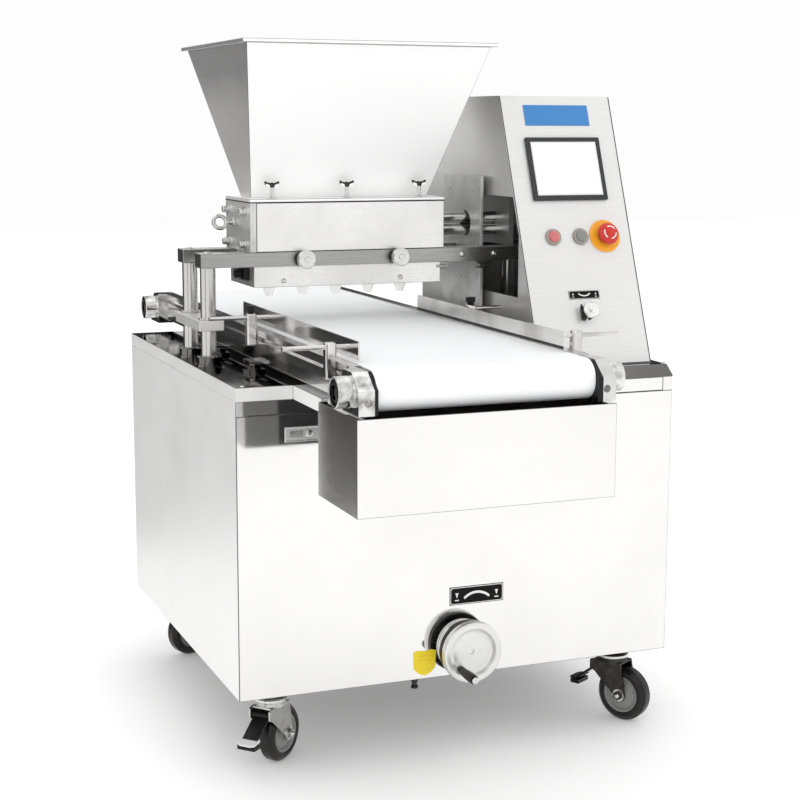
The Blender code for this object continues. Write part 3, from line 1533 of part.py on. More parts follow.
def brake_pedal(name):
    """A pedal that turns between the fork's ears and reaches out past the wheel."""
    half = wheel_width / 2 + fork_leg_gap - seam_gap
    x = -pedal_pivot_back
    z = pedal_pivot_height
    boss = cylinder(name, (x, -half, z), "Y", pedal_boss_radius, 2 * half, "brushed",
                    steps=small_steps)
    tip = x - pedal_reach
    outline = [(x, z + pedal_thickness / 2), (x, z - pedal_thickness / 2),
               (tip, z - pedal_drop - pedal_thickness / 2), (tip, z - pedal_drop + pedal_thickness / 2)]
    arm = prism(name + "_arm", outline, "XZ", -half + fork_sheet, half - fork_sheet)
    pad = box(name + "_pad", (tip, -pedal_width / 2, z - pedal_drop - pedal_thickness / 2),
              (tip + pedal_reach / 3, pedal_width / 2, z - pedal_drop + pedal_thickness))
    join(boss, arm, pad)
    return bake(boss)


def build():
    """Make every part of the depositor."""
    start_scene()
    base_frame()
    cabinet_shell()
    front_panel()
    deck()
    conveyor_frame()
    end_blocks()
    belt_bed()
    belt()
    roller("front_roller", front_axle_y)
    roller("rear_roller", rear_axle_y)
    guide("guide_left", -1)
    guide("guide_right", 1)
    guide_knobs()
    crumb_tray()
    head_columns("left_columns", column_left_x)
    head_columns("right_columns", column_right_x)
    bars()
    thumb_screws()
    pump_housing()
    end_plate()
    feed_rotor("upper_rotor", rotor_upper_z, 0)
    feed_rotor("lower_rotor", rotor_lower_z, math.pi if rotor_lobes % 2 == 0 else 0)
    nozzle_block()
    nozzles()
    ring_handle()
    hopper()
    upright_plate()
    feed_motor()
    lift_yoke()
    lift_screw()
    handwheel()
    control_box()
    control_panel()
    buttons()
    castors()


build()
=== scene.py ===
"""Finishes and fine pieces of a cake depositor, laid out as an add-on with one operator a group."""

import json
import math

import bmesh
import bpy
from bpy.props import FloatProperty, FloatVectorProperty, IntProperty, PointerProperty
from mathutils import Matrix, Vector

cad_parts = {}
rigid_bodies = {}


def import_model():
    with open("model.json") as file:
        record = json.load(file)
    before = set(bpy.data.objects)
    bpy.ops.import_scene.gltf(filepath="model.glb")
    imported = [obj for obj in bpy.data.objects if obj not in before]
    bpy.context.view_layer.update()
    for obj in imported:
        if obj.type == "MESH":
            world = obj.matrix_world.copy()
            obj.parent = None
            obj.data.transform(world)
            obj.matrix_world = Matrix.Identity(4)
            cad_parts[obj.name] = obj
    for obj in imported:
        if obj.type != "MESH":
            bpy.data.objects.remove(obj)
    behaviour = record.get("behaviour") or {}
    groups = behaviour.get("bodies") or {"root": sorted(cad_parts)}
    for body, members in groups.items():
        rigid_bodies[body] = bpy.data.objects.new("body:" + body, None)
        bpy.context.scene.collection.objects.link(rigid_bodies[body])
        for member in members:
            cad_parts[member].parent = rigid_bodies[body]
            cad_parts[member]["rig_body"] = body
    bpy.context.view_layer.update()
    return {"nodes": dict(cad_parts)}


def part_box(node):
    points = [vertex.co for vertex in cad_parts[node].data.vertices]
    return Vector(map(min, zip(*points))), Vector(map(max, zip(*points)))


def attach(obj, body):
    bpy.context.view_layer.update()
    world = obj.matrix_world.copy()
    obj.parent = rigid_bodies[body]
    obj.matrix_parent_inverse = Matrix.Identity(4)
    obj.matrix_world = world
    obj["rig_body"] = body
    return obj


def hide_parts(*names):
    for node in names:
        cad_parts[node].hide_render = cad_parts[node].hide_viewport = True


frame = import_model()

bl_info = {
    "name": "Cake depositor finishes",
    "version": (1, 0, 0),
    "blender": (4, 5, 0),
    "location": "3D View > Sidebar > Depositor",
    "description": "Dresses the cake depositor's frame with its finishes and fine pieces",
    "category": "Object",
}


# ---------------------------------------------------------------- sizes and colours

def length(name, description, default):
    return FloatProperty(name=name, description=description, default=default, unit="LENGTH",
        precision=4)


def colour(name, description, default):
    return FloatVectorProperty(name=name, description=description, default=default,
        subtype="COLOR", size=3, min=0.0, max=1.0)


def angle(name, description, default):
    return FloatProperty(name=name, description=description, default=default, subtype="ANGLE")


class DepositorSizes(bpy.types.PropertyGroup):
    """Sizes of the fine pieces, in metres"""

    sheet_edge: length("Sheet edge", "Rounding along the edges of sheet metal", 0.0007)
    bar_edge: length("Bar edge", "Rounding along the edges of bars and blocks", 0.0012)
    hub_radius: length("Hub radius", "Radius of the castor's grey hub disc", 0.034)
    grip_radius: length("Grip radius", "Radius of the handwheel's grip", 0.0085)
    belt_thickness: length("Belt thickness", "Thickness of the white belt", 0.0025)
    nozzle_wall: length("Nozzle wall", "Wall of the clear nozzles", 0.0018)
    round_steps: IntProperty(name="Round steps", description="Sides of a turned piece", default=56,
        min=12, max=128)


class DepositorColours(bpy.types.PropertyGroup):
    """Colours of the finishes"""

    steel: colour("Steel", "Satin stainless sheet", (0.86, 0.86, 0.85))
    polish: colour("Polished steel", "Mirror sheet and turned parts", (0.85, 0.845, 0.83))
    dull: colour("Dull steel", "Bars and plates of the head", (0.42, 0.42, 0.41))
    paint: colour("Panel", "Brushed control panel", (0.81, 0.808, 0.8))
    belt: colour("Belt", "White belting", (0.95, 0.957, 0.965))
    tyre: colour("Tyre", "Castor tyre", (0.006, 0.005, 0.005))
    plate: colour("Plate", "Bare plate over the screen", (0.045, 0.23, 0.56))
    stop: colour("Stop red", "Emergency stop cap", (0.6, 0.02, 0.012))
    disc: colour("Stop disc", "Disc under the emergency stop", (0.95, 0.42, 0.02))
    start: colour("Start", "Start button", (0.62, 0.17, 0.17))
    shield: colour("Shield", "Plain shield by the handwheel", (0.9, 0.7, 0.015))


class DepositorStudio(bpy.types.PropertyGroup):
    """Camera, floor and light"""

    floor: colour("Floor", "Pale floor", (0.93, 0.93, 0.93))
    sky: FloatProperty(name="Sky", description="Strength of the soft surround", default=1.0)
    key: FloatProperty(name="Key light", description="Power of the main soft light", default=14.0,
        unit="POWER")
    camera_place: FloatVectorProperty(name="Camera", description="Place of the camera",
        default=(-1.1218, -2.7952, 1.0817), subtype="TRANSLATION")
    yaw: angle("Yaw", "Turn of the view to the right", 0.377505)
    pitch: angle("Pitch", "Tilt of the view downwards", 0.164713)
    roll: angle("Roll", "Roll of the view", 0.002922)
    lens: FloatProperty(name="Lens", description="Focal length in millimetres", default=74.581,
        min=10.0)


# ---------------------------------------------------------------- shader node groups

def add(tree, kind, **values):
    made = tree.nodes.new(kind)
    for key, value in values.items():
        setattr(made, key, value)
    return made


def feed(tree, value, target):
    """Links a socket to the target, or gives the target a plain value."""
    if isinstance(value, bpy.types.NodeSocket):
        tree.links.new(value, target)
    else:
        target.default_value = value


def fed(tree, kind, output, inputs, **values):
    """One output of a new node whose inputs are fed."""
    made = add(tree, kind, **values)
    for key, value in inputs.items():
        feed(tree, value, made.inputs[key])
    return made.outputs[output]


def noise(tree, vector, scale, detail=2.0, roughness=0.5):
    return fed(tree, "ShaderNodeTexNoise", "Fac", {"Vector": vector, "Scale": scale,
        "Detail": detail, "Roughness": roughness})


def spread(tree, value, low, high, to_low=0.0, to_high=1.0):
    """A value stretched from one range to another."""
    return fed(tree, "ShaderNodeMapRange", "Result", {"Value": value, "From Min": low,
        "From Max": high, "To Min": to_low, "To Max": to_high})


def maths(tree, operation, a, b):
    return fed(tree, "ShaderNodeMath", 0, {0: a, 1: b}, operation=operation)


def blended(tree, factor, a, b):
    """Two colours mixed by a mask."""
    return fed(tree, "ShaderNodeMix", 2, {0: factor, 6: a, 7: b}, data_type="RGBA")


def new_group(name, inputs):
    """A node group that gives a colour, a roughness and a height; a None input is a vector."""
    tree = bpy.data.node_groups.new(name, "ShaderNodeTree")
    for label, value in inputs.items():
        kind = "Vector" if value is None else "Color" if isinstance(value, tuple) else "Float"
        made = tree.interface.new_socket(label, in_out="INPUT", socket_type="NodeSocket" + kind)
        if value is not None:
            made.default_value = value
    for label, kind in (("Color", "Color"), ("Roughness", "Float"), ("Height", "Float")):
        tree.interface.new_socket(label, in_out="OUTPUT", socket_type="NodeSocket" + kind)
    return tree, add(tree, "NodeGroupInput").outputs, add(tree, "NodeGroupOutput").inputs


def grained_sheet_group():
    """Rolled and rubbed metal: fine grain along one way, and soft cloudy patches, which are rubbed
    tone in most finishes and painted reflection in the block steel.
    """
    tree, ins, outs = new_group("Grained sheet", {"Grain vector": None, "Plain vector": None,
        "Colour": (0.8, 0.8, 0.8, 1), "Patch colour": (0.6, 0.6, 0.6, 1), "Grain": 0.3,
        "Patches": 0.3, "Patch size": 6.0, "Rough low": 0.2, "Rough high": 0.4})
    fine = noise(tree, ins["Grain vector"], 1.0, 4.0, 0.65)
    cloud = noise(tree, ins["Plain vector"], ins["Patch size"], 3.0, 0.55)
    grain = maths(tree, "MULTIPLY", spread(tree, fine, 0.3, 0.7), ins["Grain"])
    patch = maths(tree, "MULTIPLY", spread(tree, cloud, 0.38, 0.68), ins["Patches"])
    mask = maths(tree, "MAXIMUM", grain, patch)
    both = maths(tree, "ADD", maths(tree, "MULTIPLY", fine, 0.5), maths(tree, "MULTIPLY", cloud,
        0.5))
    feed(tree, blended(tree, mask, ins["Colour"], ins["Patch colour"]), outs["Color"])
    feed(tree, spread(tree, both, 0.35, 0.65, ins["Rough low"], ins["Rough high"]),
        outs["Roughness"])
    feed(tree, fine, outs["Height"])
    return tree


def moulded_skin_group():
    """Moulded plastic or rubber: a fine pebble and dust in patches."""
    tree, ins, outs = new_group("Moulded skin", {"Vector": None, "Colour": (0.1, 0.1, 0.1, 1),
        "Dust colour": (0.3, 0.28, 0.26, 1), "Dust": 0.2, "Pebble": 900.0, "Rough low": 0.3,
        "Rough high": 0.5})
    cloud = noise(tree, ins["Vector"], 26.0, 4.0, 0.6)
    dust = maths(tree, "MULTIPLY", spread(tree, cloud, 0.42, 0.75), ins["Dust"])
    feed(tree, blended(tree, dust, ins["Colour"], ins["Dust colour"]), outs["Color"])
    feed(tree, spread(tree, cloud, 0.3, 0.7, ins["Rough low"], ins["Rough high"]),
        outs["Roughness"])
    feed(tree, noise(tree, ins["Vector"], ins["Pebble"]), outs["Height"])
    return tree


# ---------------------------------------------------------------- materials

# The shared node groups and the finished materials, by name.
groups = {}
finishes = {}


def rgba(tint):
    """A colour with its alpha; one number stands for a grey."""
    return (tint, tint, tint, 1.0) if isinstance(tint, float) else (*tint, 1.0)


def new_finish(name, group, stretches, values, depth, plain):
    """A material; a group gives its shader the colour, the roughness and bumps, in micrometres."""
    made = finishes[name] = bpy.data.materials.new(name)
    made.use_nodes = True
    tree = made.node_tree
    shader = tree.nodes["Principled BSDF"].inputs
    for label, value in plain.items():
        shader[label].default_value = value
    coords = add(tree, "ShaderNodeTexCoord").outputs["Object"]
    node = add(tree, "ShaderNodeGroup", node_tree=groups[group])
    for label, stretch in stretches.items():
        way = fed(tree, "ShaderNodeMapping", "Vector",
            {"Vector": coords, "Scale": stretch}) if stretch else coords
        feed(tree, way, node.inputs[label])
    for label, value in values.items():
        node.inputs[label].default_value = value
    bumps = fed(tree, "ShaderNodeBump", "Normal", {"Strength": 0.5, "Distance": depth * 1e-6,
        "Height": node.outputs["Height"]})
    for source, label in ((node.outputs["Color"], "Base Color"), (node.outputs["Roughness"],
            "Roughness"), (bumps, "Normal")):
        feed(tree, source, shader[label])


def sheet_finish(name, tint, patch, rough, stretch, grain, patches, size, depth, metallic=1.0,
        specular=0.5):
    """Metal with grain that runs the way of the smallest stretch value."""
    values = {"Colour": rgba(tint), "Patch colour": rgba(patch), "Grain": grain,
        "Patches": patches, "Patch size": size, "Rough low": rough[0], "Rough high": rough[1]}
    new_finish(name, "sheet", {"Grain vector": stretch, "Plain vector": None}, values, depth,
        {"Metallic": metallic, "Specular IOR Level": specular})


def moulded_finish(name, tint, dust_tint, rough, dust=0.3, pebble=900.0, depth=30, plain=None):
    """Plastic, rubber or paint with a little dust."""
    values = {"Colour": rgba(tint), "Dust colour": rgba(dust_tint), "Dust": dust, "Pebble": pebble,
        "Rough low": rough[0], "Rough high": rough[1]}
    new_finish(name, "skin", {"Vector": None}, values, depth, plain or {})


def foot_shade(finish, low, high, foot):
    """Painted reflection: the finish runs into another colour towards its foot, between two
    heights.
    """
    tree = finishes[finish].node_tree
    target = tree.nodes["Principled BSDF"].inputs["Base Color"]
    above = target.links[0].from_socket
    coords = add(tree, "ShaderNodeTexCoord").outputs["Object"]
    height = spread(tree, fed(tree, "ShaderNodeSeparateXYZ", "Z", {"Vector": coords}), low, high)
    feed(tree, blended(tree, height, rgba(foot), above), target)


def make_finishes(colours, studio):
    """Every finish of the machine, by the name that the pieces ask for."""
    groups.update(sheet=grained_sheet_group(), skin=moulded_skin_group())
    steel, dull = tuple(colours.steel), tuple(colours.dull)
    dim, duller = tuple(0.86 * part for part in steel), tuple(0.62 * part for part in dull)
    rubbed, brushed, even = (20, 20, 420), (9, 9, 240), (90, 90, 90)
    for row in (
        ("satin_sheet", steel, dim, (0.26, 0.36), rubbed, 0.25, 0.35, 6, 3),
        ("cabinet_sheet", (0.91, 0.907, 0.9), (0.87, 0.867, 0.86), (0.38, 0.48), brushed, 0.2, 0.4,
            6, 2, 0.35),
        ("pump_sheet", (0.86, 0.855, 0.845), (0.72, 0.715, 0.7), (0.24, 0.34), rubbed, 0.15, 0.6,
            9, 1, 0.85),
        ("hopper_sheet", (0.99, 0.99, 0.985), (0.96, 0.96, 0.955), (0.34, 0.4), brushed, 0.1, 0.3,
            6, 1, 0.05),
        # Painted reflection: the hopper's outer sides are tinted dark, growing lighter towards the
        # foot.
        ("hopper_side", (0.12, 0.116, 0.114), (0.08, 0.078, 0.076), (0.3, 0.38), brushed, 0.1, 0.6,
            5, 1, 0.2, 0.25),
        ("box_sheet", (0.72, 0.715, 0.705), (0.65, 0.645, 0.635), (0.3, 0.4), brushed, 0.25, 0.4,
            6, 2, 0.75),
        ("tie_plate_steel", (0.76, 0.75, 0.74), (0.62, 0.61, 0.6), (0.3, 0.42), (200, 14, 200),
            0.3, 0.4, 30, 6, 0.5),
        # Painted shade: a dark line along the folds of the sheet metal.
        ("fold_line", (0.1, 0.1, 0.098), (0.17, 0.17, 0.165), (0.34, 0.46), (60, 60, 60), 0.3, 0.5,
            40, 6, 0.3),
        ("satin_bar", dull, duller, (0.2, 0.34), (12, 700, 700), 0.6, 0.3, 6, 6),
        ("satin_upright", (0.7, 0.7, 0.69), (0.48, 0.48, 0.47), (0.26, 0.42), (420, 420, 14), 0.3,
            0.8, 24, 6, 0.6),
        ("polished_sheet", tuple(colours.polish), (0.78, 0.775, 0.76), (0.035, 0.09),
            (20, 20, 240), 0.1, 0.55, 4.5, 2),
        # Painted reflection: the deck's mirror is tinted dark.
        ("deck_mirror", (0.17, 0.165, 0.16), (0.07, 0.068, 0.065), (0.03, 0.07), (20, 240, 20),
            0.1, 0.4, 5, 2),
        # Painted reflection: the tray's sides and back are tinted dark, growing lighter towards the
        # foot.
        ("tray_side", (0.24, 0.23, 0.22), (0.12, 0.115, 0.11), (0.1, 0.2), (9, 9, 60), 0.1, 0.75,
            6, 2, 0.7),
        ("turned_steel", (0.72, 0.72, 0.71), (0.5, 0.5, 0.49), (0.09, 0.2), (20, 500, 500), 0.25,
            0.3, 40, 6),
        ("column_steel", (0.6, 0.595, 0.58), (0.54, 0.535, 0.52), (0.2, 0.26), (60, 60, 500), 0.15,
            0.2, 20, 1),
        # Painted reflection: dark mottled patches in the chrome of the blocks, cups and ring.
        ("block_steel", (0.8, 0.8, 0.79), (0.2, 0.195, 0.19), (0.04, 0.1), (60, 60, 60), 0.15,
            0.85, 42, 4),
        ("rail_steel", (0.74, 0.73, 0.72), (0.38, 0.37, 0.36), (0.07, 0.16), (60, 5, 60), 0.2, 0.7,
            12, 4),
        ("warm_ring", (0.42, 0.37, 0.33), (0.24, 0.2, 0.17), (0.16, 0.28), (200, 200, 200), 0.25,
            0.5, 70, 10),
        ("panel_sheet", tuple(colours.paint), (0.55, 0.55, 0.54), (0.34, 0.46), (14, 900, 900),
            0.3, 0.15, 7, 6, 0.35),
        ("cast_alloy", (0.78, 0.78, 0.77), (0.62, 0.62, 0.61), (0.3, 0.42), (260, 260, 260), 0.25,
            0.25, 30, 50, 0.85),
        ("zinc_plate", (0.62, 0.62, 0.6), (0.34, 0.33, 0.31), (0.22, 0.42), even, 0.35, 0.55, 60,
            40),
        ("blued_steel", (0.035, 0.032, 0.03), (0.13, 0.12, 0.11), (0.22, 0.4), even, 0.35, 0.45,
            60, 40, 0.9),
    ):
        sheet_finish(*row)
    # Painted reflection on the hopper's and tray's sides: lighter towards their feet.
    foot_shade("hopper_side", 0.95, 1.17, (0.6, 0.59, 0.575))
    foot_shade("tray_side", 0.53, 0.66, (0.5, 0.49, 0.475))
    # A faint emission: an even brightness for the floor, and a painted glow for the clear plastic.
    glow = {"Emission Color": (1, 1, 1, 1), "Emission Strength": 0.18}
    for row in (
        ("belting", tuple(colours.belt), (0.88, 0.888, 0.895), (0.48, 0.62), 0.12, 1400.0, 60),
        ("tyre_rubber", tuple(colours.tyre), (0.045, 0.034, 0.029), (0.2, 0.4), 0.35, 700.0, 40,
            {"Specular IOR Level": 0.25, "Coat Weight": 0.15, "Coat Roughness": 0.15}),
        ("black_plastic", 0.005, 0.02, (0.26, 0.4), 0.25, 1500.0, 30,
            {"Specular IOR Level": 0.25}),
        ("bezel_plastic", (0.035, 0.037, 0.04), (0.07, 0.07, 0.075), (0.38, 0.5), 0.3, 2200.0, 30,
            {"Specular IOR Level": 0.3}),
        ("pale_plastic", (0.8, 0.8, 0.78), (0.66, 0.66, 0.64), (0.32, 0.46), 0.3, 1200.0),
        ("grey_plastic", (0.24, 0.24, 0.235), 0.17, (0.25, 0.36)),
        ("stop_plastic", tuple(colours.stop), (0.55, 0.03, 0.02), (0.18, 0.28)),
        ("disc_plastic", tuple(colours.disc), (0.85, 0.33, 0.02), (0.32, 0.42)),
        ("start_plastic", tuple(colours.start), (0.65, 0.15, 0.15), (0.15, 0.25)),
        ("plate_enamel", tuple(colours.plate), (0.03, 0.2, 0.48), (0.22, 0.32), 0.4),
        ("sign_black", 0.003, 0.008, (0.4, 0.52), 0.3, 900.0, 30, {"Specular IOR Level": 0.15}),
        ("sign_white", (0.92, 0.92, 0.9), (0.8, 0.8, 0.78), (0.4, 0.5)),
        ("shield_paint", tuple(colours.shield), (0.85, 0.58, 0.02), (0.35, 0.48), 0.4),
        # Painted glow: the clear nozzles give off a faint light.
        ("clear_plastic", (0.95, 0.95, 0.94), (0.88, 0.88, 0.87), (0.2, 0.3), 0.4, 900.0, 20,
            {"Transmission Weight": 0.22, "IOR": 1.3, **glow}),
        ("screen_glass", (0.9, 0.93, 0.95), (0.86, 0.9, 0.93), (0.05, 0.08), 0.3, 300.0, 2,
            {"Emission Color": (0.93, 0.96, 1.0, 1.0), "Emission Strength": 0.55,
            "Coat Weight": 0.6, "Coat Roughness": 0.03}),
        ("studio_floor", tuple(studio.floor), 0.9, (0.55, 0.68), 0.3, 60.0, 0, glow),
        ("studio_card", 0.02, 0.04, (0.6, 0.8), 0.3, 8.0, 0),
    ):
        moulded_finish(*row)


# ---------------------------------------------------------------- shaping with bmesh

# Profiles and outlines are in millimetres, everything else is in metres.
MM = 0.001
UP, DOWN, LEFT, OUT = (0, 0, 1), (0, 0, -1), (-1, 0, 0), (0, -1, 0)


def verts_in(items):
    return [item for item in items if isinstance(item, bmesh.types.BMVert)]


def edges_in(items):
    return [item for item in items if isinstance(item, bmesh.types.BMEdge)]


def everything(bm):
    return bm.verts[:] + bm.edges[:] + bm.faces[:]


def merged(bm, within=0.00001):
    """Closes the seams of a spun shape and turns its faces outwards."""
    bmesh.ops.remove_doubles(bm, verts=bm.verts, dist=within)
    bmesh.ops.recalc_face_normals(bm, faces=bm.faces)


def sharp_edges(bm, turn):
    bm.normal_update()
    return [edge for edge in bm.edges if edge.is_manifold and edge.calc_face_angle() > turn]


def eased(bm, edges, offset, segments=2):
    """Bevels the edges and gives their new faces."""
    return bmesh.ops.bevel(bm, geom=edges, offset=offset, offset_type="OFFSET", segments=segments,
        profile=0.5, affect="EDGES", clamp_overlap=True, material=-1)["faces"]


def rounded(bm, offset, segments=2, turn=0.5):
    """Bevels every edge that turns by more than the angle."""
    edges = sharp_edges(bm, turn)
    if offset > 0 and edges:
        eased(bm, edges, offset, segments)
    return bm


def placed(bm, matrix):
    bmesh.ops.transform(bm, matrix=matrix, verts=bm.verts)
    if matrix.determinant() < 0:
        bmesh.ops.reverse_faces(bm, faces=bm.faces)
    return bm


def towards(axis):
    """A turn that takes +Z to the axis."""
    return Vector(axis).to_track_quat("Z", "Y").to_matrix().to_4x4()


def block(low, high, edge=0.0, segments=2):
    """A box between two corners with rounded edges."""
    bm = bmesh.new()
    bmesh.ops.create_cube(bm, size=1.0)
    low, high = Vector(low), Vector(high)
    bmesh.ops.scale(bm, vec=high - low, verts=bm.verts)
    bmesh.ops.translate(bm, vec=(low + high) / 2, verts=bm.verts)
    return rounded(bm, edge, segments)


def turned(profile, place=(0, 0, 0), axis=UP, edge=0.0, steps=0, closed=False, unit=MM):
    """A profile of radius and height, in millimetres, spun about the axis at a place."""
    bm = bmesh.new()
    ring = [bm.verts.new((radius * unit, 0, height * unit)) for radius, height in profile]
    pairs = list(zip(ring, ring[1:])) + ([(ring[-1], ring[0])] if closed else [])
    lines = [bm.edges.new(pair) for pair in pairs]
    steps = steps or bpy.context.scene.depositor_sizes.round_steps
    bmesh.ops.spin(bm, geom=ring + lines, cent=(0, 0, 0), axis=UP, angle=2 * math.pi, steps=steps,
        use_merge=True)
    merged(bm, 0.000001)
    rounded(bm, edge, 2, 0.45)
    return placed(bm, Matrix.Translation(place) @ towards(axis))


def rod(start, axis, radius, reach, edge=0.0, steps=0):
    """A round bar with two flat ends."""
    return turned([(0, 0), (radius, 0), (radius, reach), (0, reach)], start, axis, edge, steps,
        unit=1)


def drawn_up(bm, thickness):
    """A flat shape in XY, drawn out along +Z."""
    made = bmesh.ops.extrude_face_region(bm, geom=bm.faces[:])
    bmesh.ops.translate(bm, vec=(0, 0, thickness), verts=verts_in(made["geom"]))
    bmesh.ops.recalc_face_normals(bm, faces=bm.faces)
    return bm


def slab(outline, matrix, thickness, edge=0.0, unit=MM):
    """An outline in XY, in millimetres, drawn out and put in place by the matrix."""
    bm = bmesh.new()
    bm.faces.new([bm.verts.new((x * unit, y * unit, 0)) for x, y in outline])
    return placed(rounded(drawn_up(bm, thickness), edge), matrix)


def hexagon(place, axis, across, height, edge=0.0004):
    """A hexagon head with a rounded top edge."""
    bm = bmesh.new()
    bmesh.ops.create_cone(bm, cap_ends=True, segments=6, radius1=across / 2, radius2=across / 2,
        depth=height)
    bmesh.ops.translate(bm, vec=(0, 0, height / 2), verts=bm.verts)
    return placed(rounded(bm, edge), Matrix.Translation(place) @ towards(axis))


def dome(place, axis, radius, height, socket=0.0):
    """A screw's domed head, with a round socket where one is asked for."""
    profile = [(0, height), (radius * 0.55, height * 0.92), (radius * 0.86, height * 0.62),
        (radius, height * 0.18), (radius, 0), (0, 0)]
    if socket:
        profile = [(0, height * 0.35), (socket, height * 0.35),
            (socket, height * 0.95)] + profile[1:]
    return turned(profile, place, axis, 0.0, 20, unit=1)


def together(*shapes):
    """Several shapes in one bmesh."""
    whole = shapes[0]
    for shape in shapes[1:]:
        mesh = bpy.data.meshes.new("shape")
        shape.to_mesh(mesh)
        shape.free()
        whole.from_mesh(mesh)
        bpy.data.meshes.remove(mesh)
    return whole


# ---------------------------------------------------------------- pieces on the frame

def new_object(name, bm, words):
    """A mesh object in the scene with its finishes."""
    mesh = bpy.data.meshes.new(name)
    bm.to_mesh(mesh)
    bm.free()
    for word in words:
        mesh.materials.append(finishes[word])
    made = bpy.data.objects.new(name, mesh)
    bpy.context.scene.collection.objects.link(made)
    return made


def piece(name, bm, finish, body, replaced=(), extra=()):
    """A finished piece that rides on a body and stands for the nodes that it replaces."""
    bm.normal_update()
    for face in bm.faces:
        face.smooth = True
    for edge in bm.edges:
        edge.smooth = not (edge.is_manifold and edge.calc_face_angle() > 0.62)
    made = new_object(name, bm, (finish, *extra))
    made.modifiers.new("even_normals", "WEIGHTED_NORMAL").keep_sharp = True
    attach(made, body)
    if replaced:
        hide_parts(*replaced)
    return made


def node_body(node):
    return frame["nodes"][node]["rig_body"]


def whole_mesh(node):
    """A merged copy of a node's mesh, with its flat faces made one."""
    bm = bmesh.new()
    bm.from_mesh(frame["nodes"][node].data)
    bmesh.ops.remove_doubles(bm, verts=bm.verts, dist=0.00001)
    bmesh.ops.dissolve_limit(bm, angle_limit=0.01, verts=bm.verts, edges=bm.edges)
    return bm


def smoothed(node, finish, edge=0.0):
    """A node's own shape with its round sides made smooth and its edges eased."""
    bm = rounded(whole_mesh(node), edge, 2, 0.62)
    return piece(node + "_smooth", bm, finish, node_body(node), (node,))


def lined(bm, offset, shortest=0.05):
    """Eases the long sharp edges; the narrow new faces take the second finish, a line of painted
    shade.
    """
    edges = [edge for edge in sharp_edges(bm, 0.3) if edge.calc_length() > shortest]
    for face in eased(bm, edges, offset):
        face.material_index = 1


def folded(node, finish, fold, side_finish=None):
    """A sheet metal node with a line of painted shade along its folds, and its own finish on its
    sides.
    """
    bm = whole_mesh(node)
    bm.normal_update()
    if side_finish:
        for face in bm.faces:
            if abs(face.normal.x) > 0.7 or face.normal.y > 0.7:
                face.material_index = 2
    lined(bm, fold)
    extra = ("fold_line", side_finish) if side_finish else ("fold_line",)
    return piece(node + "_sheet", bm, finish, node_body(node), (node,), extra)


def dressed(node, finish, edge=0.0):
    """A node that is kept: its finish, and a rounding along its edges."""
    kept = frame["nodes"][node]
    if kept.material_slots:
        kept.material_slots[0].material = finishes[finish]
    else:
        kept.data.materials.append(finishes[finish])
    if edge > 0:
        kept.modifiers.new("one_skin", "WELD").merge_threshold = 0.00001
        easing = kept.modifiers.new("eased_edges", "BEVEL")
        for key, value in (("width", edge), ("segments", 2), ("limit_method", "ANGLE"),
                ("angle_limit", 0.6), ("use_clamp_overlap", True)):
            setattr(easing, key, value)


def centre_of(node):
    low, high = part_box(node)
    return (low + high) / 2


# ---------------------------------------------------------------- floor, light and camera

def surround(scene, strength):
    world = bpy.data.worlds.new("soft_surround")
    world.use_nodes = True
    tree = world.node_tree
    background = tree.nodes["Background"].inputs
    background["Strength"].default_value = strength
    coords = add(tree, "ShaderNodeTexCoord").outputs["Generated"]
    height = spread(tree, fed(tree, "ShaderNodeSeparateXYZ", "Z", {"Vector": coords}), -0.1, 0.7)
    feed(tree, blended(tree, height, (0.98, 0.98, 0.98, 1), (1.0, 1.0, 1.0, 1)),
        background["Color"])
    scene.world = world


def card(name, corner, across, rise):
    """A dark card that only shows in polished metal."""
    bm = bmesh.new()
    ends = [bm.verts.new(corner), bm.verts.new(Vector(corner) + Vector(across))]
    top = bmesh.ops.extrude_edge_only(bm, edges=[bm.edges.new(ends)])["geom"]
    bmesh.ops.translate(bm, vec=(0, 0, rise), verts=verts_in(top))
    made = new_object(name, bm, ("studio_card",))
    for ray in ("camera", "diffuse", "transmission", "shadow"):
        setattr(made, "visible_" + ray, False)


def soft_light(name, place, size, power):
    data = bpy.data.lights.new(name, "AREA")
    data.shape, data.size, data.energy = "SQUARE", size, power
    lamp = bpy.data.objects.new(name, data)
    lamp.location = place
    lamp.rotation_euler = (Vector((0, 0, 0.6)) - Vector(place)).to_track_quat("-Z", "Y").to_euler()
    bpy.context.scene.collection.objects.link(lamp)


def photo_camera(scene, studio):
    ahead = Vector((math.sin(studio.yaw) * math.cos(studio.pitch),
        math.cos(studio.yaw) * math.cos(studio.pitch), -math.sin(studio.pitch)))
    right = Vector((math.cos(studio.yaw), -math.sin(studio.yaw), 0))
    up = right.cross(ahead)
    across = right * math.cos(studio.roll) + up * math.sin(studio.roll)
    rise = up * math.cos(studio.roll) - right * math.sin(studio.roll)
    data = bpy.data.cameras.new("photo_camera")
    data.sensor_width, data.lens, data.clip_end = 36.0, studio.lens, 60.0
    made = bpy.data.objects.new("photo_camera", data)
    turn = Matrix((across, rise, -ahead)).transposed()
    made.matrix_world = Matrix.Translation(studio.camera_place) @ turn.to_4x4()
    scene.collection.objects.link(made)
    scene.camera = made


